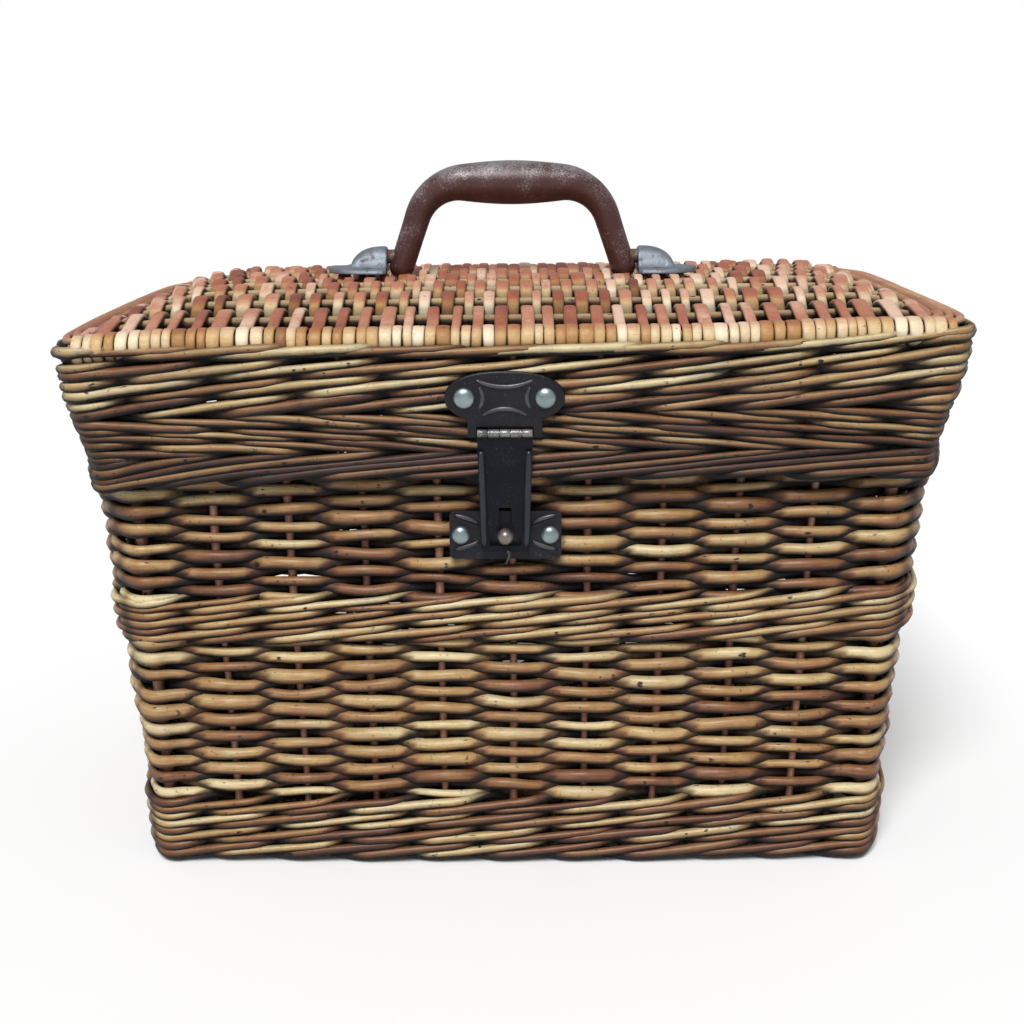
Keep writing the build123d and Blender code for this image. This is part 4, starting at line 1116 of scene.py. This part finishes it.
def handle_line(count):
    """The handle's middle line from foot to foot: a straight leg, an arc that touches
    the leg and the level grip, and the same mirrored. Gives places along X and Z, and
    how far from the middle each is, as a share of the half."""
    foot = np.array(handle_foot)
    corner = np.array(handle_corner)
    leg = (corner - foot) / np.linalg.norm(corner - foot)
    turned = math.acos(-leg[0])
    touch = handle_bend * math.tan(turned / 2)
    arc_start = corner - leg * touch
    centre = np.array([corner[0] - touch, corner[1] - handle_bend])
    angle = np.linspace(turned, 0, 30)
    arc = centre + handle_bend * np.stack([np.sin(angle), np.cos(angle)], axis=-1)
    half = np.concatenate([foot[None], arc_start[None], arc, [[0.0, corner[1]]]])
    steps = np.linalg.norm(np.diff(half, axis=0), axis=1)
    at = np.concatenate([[0], np.cumsum(steps)])
    even = np.linspace(0, at[-1], count)
    x = np.interp(even, at, half[:, 0])
    z = np.interp(even, at, half[:, 1])
    from_middle = 1 - even / at[-1]
    return mirrored(x, -1), mirrored(z), mirrored(from_middle)


def handle_mesh():
    """Round bar along the handle's middle line. Its radius swells to the grip by the
    fourth power of a cosine, and its feet close as half balls."""
    x, z, from_middle = handle_line(70)
    swell = np.cos(from_middle * math.pi / 2) ** 4
    radius = leg_radius + (grip_radius - leg_radius) * swell
    ball = np.linspace(0.05, math.pi / 2, 7)[:-1]
    slope = np.array([handle_foot[0] - handle_corner[0], handle_foot[1] - handle_corner[1]])
    slope = slope / np.linalg.norm(slope)
    reach = leg_radius * np.cos(ball)
    cap_x = handle_foot[0] + slope[0] * reach
    cap_z = handle_foot[1] + slope[1] * reach
    cap_radius = leg_radius * np.sin(ball)
    x = np.concatenate([cap_x, x, -cap_x[::-1]])
    z = np.concatenate([cap_z, z, cap_z[::-1]])
    radius = np.concatenate([cap_radius, radius, cap_radius[::-1]])
    middle = np.stack([x, 0 * x, z + handle_pivot], axis=-1)[None]
    return rods_mesh(
        "steel_handle", middle, pointing(middle, y=-1), radius[None], radius[None], sides=40,
        level=True,
    )


piece = handle_mesh()
stand(piece, worn_enamel("worn_brown_enamel"), "handle", "handle_enamel", "handle_bar")


# Brackets and pins of the handle: grey pressed steel, dull and rusty in patches. The
# rear hinges, the rivets, the hasp's wire and its stud get their steel here too.

rust_brown = (0.105, 0.042, 0.020, 1.0)


def old_steel(name, pale, dark, rust_share, rough=0.42, metal=0.9):
    """Bare steel gone grey: cloudy tone, fine pitting and patches of rust."""
    material, paint, shader = finish(name)
    place = paint.node("ShaderNodeTexCoord", output="Object")
    clouds = paint.noise(place, 120.0, 4.0, 0.6)
    pits = paint.noise(place, 1100.0, 3.0, 0.6)
    rust = paint.noise(place, 210.0, 3.0, 0.65)
    steel = paint.mix(clouds, (*dark, 1.0), (*pale, 1.0))
    more = rust_share * 0.3
    mask = paint.span(rust, 0.62 - more, 0.80 - more, 0.0, 0.85)
    colour = paint.mix(mask, steel, rust_brown)
    dull = rough + mask * 0.35 + (pits - 0.5) * 0.25
    cover(paint, shader, colour, dull, pits + clouds, 0.3, 0.0003)
    plug(metal - mask * 0.75, shader["Metallic"])
    return material


bracket_steel = old_steel(
    "grey_pressed_steel", (0.30, 0.34, 0.39), (0.09, 0.105, 0.13), 0.2, 0.55, 0.6
)
rusty_steel = old_steel("rusty_rivet_steel", (0.30, 0.26, 0.24), (0.12, 0.09, 0.08), 0.8, 0.5)
rivet_steel = old_steel("pale_rivet_steel", (0.36, 0.44, 0.45), (0.13, 0.18, 0.19), 0.05, 0.36)
stud_steel = old_steel("brown_stud_steel", (0.34, 0.31, 0.29), (0.09, 0.075, 0.07), 0.35, 0.36, 0.8)
steel_of_nodes = {
    "hinge_upper_leaves": bracket_steel,
    "hinge_lower_leaves": bracket_steel,
    "bracket_rivets": rusty_steel,
    "hinge_pins": rivet_steel,
    "hinge_lid_rivets": rivet_steel,
    "hinge_body_rivets": rivet_steel,
    "hasp_rivets": rivet_steel,
    "catch_rivets": rivet_steel,
    "hasp_hinge_wire": rivet_steel,
    "catch_stud": stud_steel,
}
for node, steel in steel_of_nodes.items():
    paint_node(node, steel)

bracket_seat = 0.32249
bracket_inner_x = 0.0745
bracket_length = 0.0350
bracket_half_depth = 0.0185
bracket_straight = 0.008
bracket_corner = 0.002
bracket_corner_cut = 0.12
tongue_power = 2.2
plate_thickness = 0.0032
plate_edge_power = 12
hood_rise = 0.0119
hood_length = 0.0215
hood_half_depth = 0.0105
hood_powers = (2.8, 2.6)
hood_fall = 0.14
hood_lip = 0.001
hood_lip_drop = 0.06


def bracket_mesh():
    """Two brackets, each a plate with a rounded tongue and a hood. The tongue narrows
    by a super-ellipse. The hood's height is a super-ellipse along X, open side towards
    the handle, times one across Y, and the plate's edge is rounded in the same way."""
    x = np.concatenate([[0.0], np.linspace(0.0003, 0.9995, 60)]) * bracket_length
    past = np.clip((x - bracket_straight) / (bracket_length - bracket_straight), 0, 1)
    half = bracket_half_depth * (1 - past**tongue_power) ** 0.5
    half = half * (1 - bracket_corner_cut * np.clip(1 - x / bracket_corner, 0, 1))
    v = np.sin(np.linspace(-math.pi / 2, math.pi / 2, 41))
    y = half[:, None] * v[None, :]
    edge = (1 - np.abs(v[None, :]) ** plate_edge_power) ** 0.5
    along = (1 - np.clip(x / hood_length, 0, 1) ** hood_powers[0])[:, None] ** 0.5
    arch = np.clip(1 - np.abs(y / hood_half_depth) ** hood_powers[1], 0, 1) ** 0.5
    lip = 1 - hood_lip_drop * np.clip(1 - x / hood_lip, 0, 1)[:, None]
    crest = 1 - hood_fall + hood_fall * along
    top = plate_thickness * edge + hood_rise * crest * along * arch * lip
    x = np.broadcast_to(x[:, None], y.shape)
    upper = np.stack([bracket_inner_x + x, y, bracket_seat + top], axis=-1)
    lower = np.stack([bracket_inner_x + x, y, bracket_seat + 0 * top], axis=-1)
    right = np.concatenate([lower, upper[:, -2:0:-1]], axis=1)[:, ::-1]
    left = right[:, ::-1] * np.array([-1.0, 1.0, 1.0])
    return tube_mesh("pressed_brackets", np.stack([right, left]), {})


piece = bracket_mesh()
stand(piece, bracket_steel, "lid", "grey_steel", "handle_brackets")

pin_radius = 0.0042
pin_ends = (0.0685, 0.0790)


def pin_mesh():
    """Two level cylinders along X, one at each foot of the handle."""
    along = np.linspace(*pin_ends, 6)
    x = np.stack([along, -along])
    middle = np.stack([x, 0 * x, 0 * x + handle_pivot], axis=-1)
    return rods_mesh(
        "handle_pivot_pins", middle, pointing(middle, y=-1), pin_radius, pin_radius, sides=24,
        level=True,
    )


piece = pin_mesh()
stand(piece, rusty_steel, "handle", "bright_steel", "pivot_pins")


# Snap hasp: pressed steel, japanned black-brown, on the lid, with a strap that snaps
# over a ball stud on the body. Its hinge is rubbed bright, and its ribs to dull steel.

hasp_axis_z = 0.25422
knuckle_height = 0.0026
japan_black = (0.002, 0.003, 0.006, 1.0)
japan_rubbed = (0.30, 0.29, 0.28, 1.0)


def black_japan(name, bloom_tone, shine, knuckles=0.0):
    """Black japanning with a cloudy bloom, bright specks, and, where it has knuckles, metal worn
    bright along the hinge."""
    material, paint, shader = finish(name)
    place = paint.node("ShaderNodeTexCoord", output="Object")
    clouds = paint.noise(place, 90.0, 4.0, 0.6)
    fine = paint.noise(place, 1300.0, 3.0, 0.65)
    bloom = paint.mix(clouds, japan_black, (*bloom_tone, 1.0))
    wear_and_highlight = paint.span(clouds * 0.15 + fine * 0.85, 0.62, 0.74, 0.0, 0.45)
    from_hinge = paint.math("ABSOLUTE", upright(paint, place) - hasp_axis_z)
    knuckle = paint.span(from_hinge, knuckle_height * 0.7, knuckle_height, knuckles, 0.0)
    knuckle = knuckle * paint.span(fine + clouds, 0.75, 1.05)
    wear_and_highlight = paint.math("MAXIMUM", wear_and_highlight, knuckle)
    colour = paint.mix(wear_and_highlight, bloom, japan_rubbed)
    cover(paint, shader, colour, 0.38 + (fine - 0.5) * 0.35, fine + clouds, 0.2, 0.0003)
    shader["Specular IOR Level"].default_value = shine
    plug(0.05 + wear_and_highlight * 0.7, shader["Metallic"])
    return material


japan = black_japan("black_brown_japan", (0.015, 0.013, 0.018), 0.24)
strap_japan = black_japan("blue_black_japan", (0.006, 0.008, 0.014), 0.14, 0.85)
fold_japan = black_japan("rubbed_blue_japan", (0.016, 0.018, 0.026), 0.45)
paint_node("hasp_strap", strap_japan)
paint_node("catch_plate", japan)

rubbed_steel = old_steel(
    "rubbed_rib_steel", (0.11, 0.11, 0.13), (0.010, 0.011, 0.014), 0.1, 0.36, 0.5
)
hasp_x = -0.0042
catch_z = 0.1986
plate_rise = 0.0021
rib_half_width = 0.0013
rib_half_depth = 0.0011
spool_half = (0.0130, 0.00925)
spool_middle = 0.01875
spool_waist = 0.0035
spool_taper = 0.0016
side_bend = 0.5
side_length = 0.6
rib_points = 24
chevron_start = (0.0145, 0.0045)
chevron_reach = (0.0120, 0.0050)


def pressed_ribs(name, lines, base_z, plan_at):
    """Low round ribs on a plate of the front wall. lines are curves of places along X
    from the middle of the hasp and along Z from base_z."""
    lines = np.asarray(lines)
    x = hasp_x + lines[..., 0]
    z = base_z + lines[..., 1]
    face_y = plan_at(z, 0.0)[1] + front_bow
    middle = np.stack([x, -face_y - plate_rise, z], axis=-1)
    taper = np.sin(np.linspace(0.08, math.pi - 0.08, rib_points)) ** 0.35
    return rods_mesh(
        name, middle, pointing(middle, y=-1), rib_half_width * taper, rib_half_depth * taper,
        level=True,
    )


def spool_lines():
    """Four ribs of the top plate: above and below, bent towards the middle by a
    parabola, and one at each side, bent the same way by less."""
    share = np.linspace(-1, 1, rib_points)
    bend = spool_waist * (1 - share**2)
    lines = []
    for side in (-1, 1):
        reach = spool_half[0] + side * spool_taper
        long_rib = np.stack([share * reach, side * (spool_half[1] - bend)], axis=-1)
        side_x = side * (spool_half[0] - bend * side_bend)
        side_rib = np.stack([side_x, share * spool_half[1] * side_length], axis=-1)
        lines += [long_rib, side_rib]
    return np.array(lines) + np.array([0.0, spool_middle])


def chevron_lines():
    """Four ribs of the catch plate, from beside the strap out to the corners."""
    share = np.linspace(0, 1, rib_points)
    lines = []
    for side in (-1, 1):
        for level in (-1, 1):
            x = side * (chevron_start[0] + chevron_reach[0] * share)
            z = level * (chevron_start[1] + chevron_reach[1] * share**0.6)
            lines.append(np.stack([x, z], axis=-1))
    return np.array(lines)


hasp_head_radius = 0.0055
catch_head_radius = 0.0050
dome_cover = 0.0003
dome_rise = 0.0030
dome_rim = 0.0002


def rivet_domes(name, node, radius):
    """Smooth domed heads over the two front rivets of a node: rings of a quarter
    ellipse from the rim to the crown of each head."""
    low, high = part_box(node)
    angle = np.linspace(0, math.pi / 2 * 0.98, 12)
    from_end = radius - dome_rim
    x = np.array([low[0] + from_end, high[0] - from_end])[:, None] + 0 * angle
    z = (low[2] + high[2]) / 2 + 0 * x
    y = low[1] - dome_cover + dome_rise * (1 - np.sin(angle)) + 0 * x
    middle = np.stack([x, y, z], axis=-1)
    ring = radius * np.cos(angle) + 0 * x
    return rods_mesh(name, middle, pointing(middle, x=1), ring, ring, sides=36, level=True)


for name, node, body, radius in (
    ("hasp_rivet_heads", "hasp_rivets", "lid", hasp_head_radius),
    ("catch_rivet_heads", "catch_rivets", "basket", catch_head_radius),
):
    piece = rivet_domes(name, node, radius)
    stand(piece, rivet_steel, body, "bright_steel")

oval_half = (0.0306, 0.0140)
oval_middle = 0.0186
oval_power = 2.3
plate_bevel_power = 10
sharp_step = 0.0001
neck_half = 0.0191
notch_half = 0.0146
ear_low = -0.0028
notch_high = 0.0020
plate_seat = 0.0003
plate_sheet = 0.0016


def oval_plate():
    """Plate with an oval outline, a neck and an ear at each end of the hinge. For each
    place across, it runs from its lower edge to a super-ellipse, and its front
    rounds off at both edges by the tenth power."""
    sweep = oval_half[0] * np.sin(np.linspace(-math.pi / 2, math.pi / 2, 81))
    steps = [side * edge + shift for side in (-1, 1) for edge in (neck_half, notch_half)
             for shift in (-sharp_step, sharp_step)]
    x = np.unique(np.concatenate([sweep, steps]))
    half = oval_half[1] * (1 - np.abs(x / oval_half[0]) ** oval_power) ** (1 / oval_power)
    low = oval_middle - half
    low = np.where(np.abs(x) < neck_half, ear_low, low)
    low = np.where(np.abs(x) < notch_half, notch_high, low)
    share = (1 - np.cos(np.linspace(0, math.pi, 33))) / 2
    z = hasp_axis_z + low[:, None] + (oval_middle + half - low)[:, None] * share
    edge = (1 - np.abs(2 * share - 1) ** plate_bevel_power) ** 0.5 + 0 * z
    back = -(lid_plan(z, 0.0)[1] + front_bow) - plate_seat
    x = hasp_x + x[:, None] + 0 * z
    behind = np.stack([x, back, z], axis=-1)[:, ::-1]
    front = np.stack([x, back - plate_sheet * edge, z], axis=-1)[:, 1:-1]
    return tube_mesh("hasp_oval_plate", np.concatenate([behind, front], axis=1)[None], {})


piece = oval_plate()
stand(piece, japan, "lid", "black_japan")

knuckle_radius = 0.0021
knuckle_row_half = 0.0144
knuckle_gap = 0.0003
knuckle_pitch = 2 * knuckle_row_half / 5


def rolled_knuckles():
    """The three knuckles of the plate's hinge: short level cylinders along X."""
    reach = knuckle_pitch / 2 - knuckle_gap / 2
    along = np.array([-1, -0.94, -0.9, 0, 0.9, 0.94, 1]) * reach
    centre = np.array([-2, 0, 2])[:, None] * knuckle_pitch
    x = hasp_x + centre + along[None, :]
    y = np.full_like(x, -(lid_plan(hasp_axis_z, 0.0)[1] + front_bow) - plate_seat - knuckle_radius)
    middle = np.stack([x, y, np.full_like(x, hasp_axis_z)], axis=-1)
    round_off = np.array([0.86, 0.96, 1, 1, 1, 0.96, 0.86])
    radius = knuckle_radius * round_off + 0 * x
    return rods_mesh(
        "hasp_knuckles", middle, pointing(middle, y=-1), radius, radius, sides=28, level=True
    )


piece = rolled_knuckles()
stand(piece, strap_japan, "lid", "black_japan", "hasp_plate")

strap_ends = (0.0095, 0.0615)
strap_half = (0.0142, 0.0126)
strap_long = 0.066
strap_front = 0.0040
fold_half_width = 0.0016
fold_half_depth = 0.0010


def strap_folds():
    """The strap's two folded side ribs: low round rods down its tapering edges."""
    share = np.linspace(0, 1, rib_points)
    down = strap_ends[0] + (strap_ends[1] - strap_ends[0]) * share
    half = strap_half[0] + (strap_half[1] - strap_half[0]) * down / strap_long - fold_half_width
    x = hasp_x + np.stack([-half, half])
    z = np.stack([hasp_axis_z - down] * 2)
    y = -(lid_plan(z, 0.0)[1] + front_bow) - strap_front + fold_half_depth * 0.4
    middle = np.stack([x, y, z], axis=-1)
    ends = np.sin(np.linspace(0.02, math.pi - 0.02, rib_points)) ** 0.12
    return rods_mesh(
        "strap_side_folds", middle, pointing(middle, y=-1), fold_half_width * ends,
        fold_half_depth * ends, sides=16, level=True,
    )


piece = strap_folds()
stand(piece, fold_japan, "hasp", "black_japan")


sliver_half_width = 0.0011
sliver_length = 0.0062
sliver_overlap = 0.001
sliver_x = 0.0008
sliver_front = 0.0026
sliver_waves = (0.0012, 0.0010, 0.0012)


def torn_curl():
    """Torn sliver that hangs from the strap's foot: a thin rod that curls forward and
    aside as it goes down, by sines of how far it has gone."""
    share = np.linspace(0, 1, 24)[None, :]
    wave_x, wave_y, wave_z = sliver_waves
    z = hasp_axis_z - strap_long + sliver_overlap - sliver_length * share
    z = z + wave_z * np.sin(5 * share)
    x = hasp_x + sliver_x + wave_x * np.sin(4 * share)
    y = -(lid_plan(z, 0.0)[1] + front_bow) - sliver_front - wave_y * np.sin(3 * share)
    middle = np.stack([x, y, z], axis=-1)
    width = sliver_half_width * (1 - 0.7 * share) + 0 * x
    return rods_mesh(
        "torn_strap_sliver", middle, pointing(middle, y=-1), width, width * 0.35, level=True
    )


piece = torn_curl()
stand(piece, rubbed_steel, "hasp", "black_japan")
piece = pressed_ribs("hasp_plate_ribs", spool_lines(), hasp_axis_z, lid_plan)
stand(piece, rubbed_steel, "lid", "black_japan")
piece = pressed_ribs("catch_plate_ribs", chevron_lines(), catch_z, body_plan)
stand(piece, rubbed_steel, "basket", "black_japan")


# Studio: a plain white floor and sky, soft light from above and in front, and a
# camera at the photograph's height and tilt.

floor_half_size = 6.0
corner_signs = ((-1, -1), (1, -1), (1, 1), (-1, 1))
floor_corners = [(x * floor_half_size, y * floor_half_size, 0) for x, y in corner_signs]
floor_mesh = bpy.data.meshes.new("studio_floor")
floor_mesh.from_pydata(floor_corners, [], [(0, 1, 2, 3)])
studio_floor = bpy.data.objects.new("studio_floor", floor_mesh)
bpy.context.scene.collection.objects.link(studio_floor)
floor_paint, paint, shader = finish("studio_white")
shader["Base Color"].default_value = (0.97, 0.97, 0.97, 1.0)
shader["Roughness"].default_value = 1.0
shader["Specular IOR Level"].default_value = 0.0
floor_mesh.materials.append(floor_paint)

sky = bpy.data.worlds.new("studio_sky")
sky.use_nodes = True
bpy.context.scene.world = sky
rays = sky.node_tree.nodes.new("ShaderNodeLightPath")
seen = Wire(sky.node_tree, rays.outputs["Is Camera Ray"])
seen = seen.math("MAXIMUM", seen, Wire(sky.node_tree, rays.outputs["Is Transmission Ray"]))
mirrored = Wire(sky.node_tree, rays.outputs["Is Glossy Ray"])
sky_light = 0.30
mirror_light = 0.2
strength = sky_light + seen * (1.0 - sky_light) + mirrored * mirror_light
background = sky.node_tree.nodes["Background"]
background.inputs["Color"].default_value = (1.0, 1.0, 1.0, 1.0)
sky.node_tree.links.new(strength.socket, background.inputs["Strength"])

sun_data = bpy.data.lights.new("studio_sun", "SUN")
sun_data.energy = 3.05
sun_data.angle = math.radians(24)
sun = bpy.data.objects.new("studio_sun", sun_data)
sun.rotation_euler = (math.radians(38), math.radians(-8), 0)
bpy.context.scene.collection.objects.link(sun)

camera_down = math.radians(14.5)
camera_roll = math.radians(0.2)
camera_data = bpy.data.cameras.new("photo_camera")
camera_data.sensor_width = 36.0
camera_data.lens = 52.5
camera = bpy.data.objects.new("photo_camera", camera_data)
camera.location = (0.0, -0.900, 0.4067)
camera.rotation_euler = (math.pi / 2 - camera_down, camera_roll, 0)
bpy.context.scene.collection.objects.link(camera)
bpy.context.scene.camera = camera
bpy.context.scene.view_settings.view_transform = "Standard"
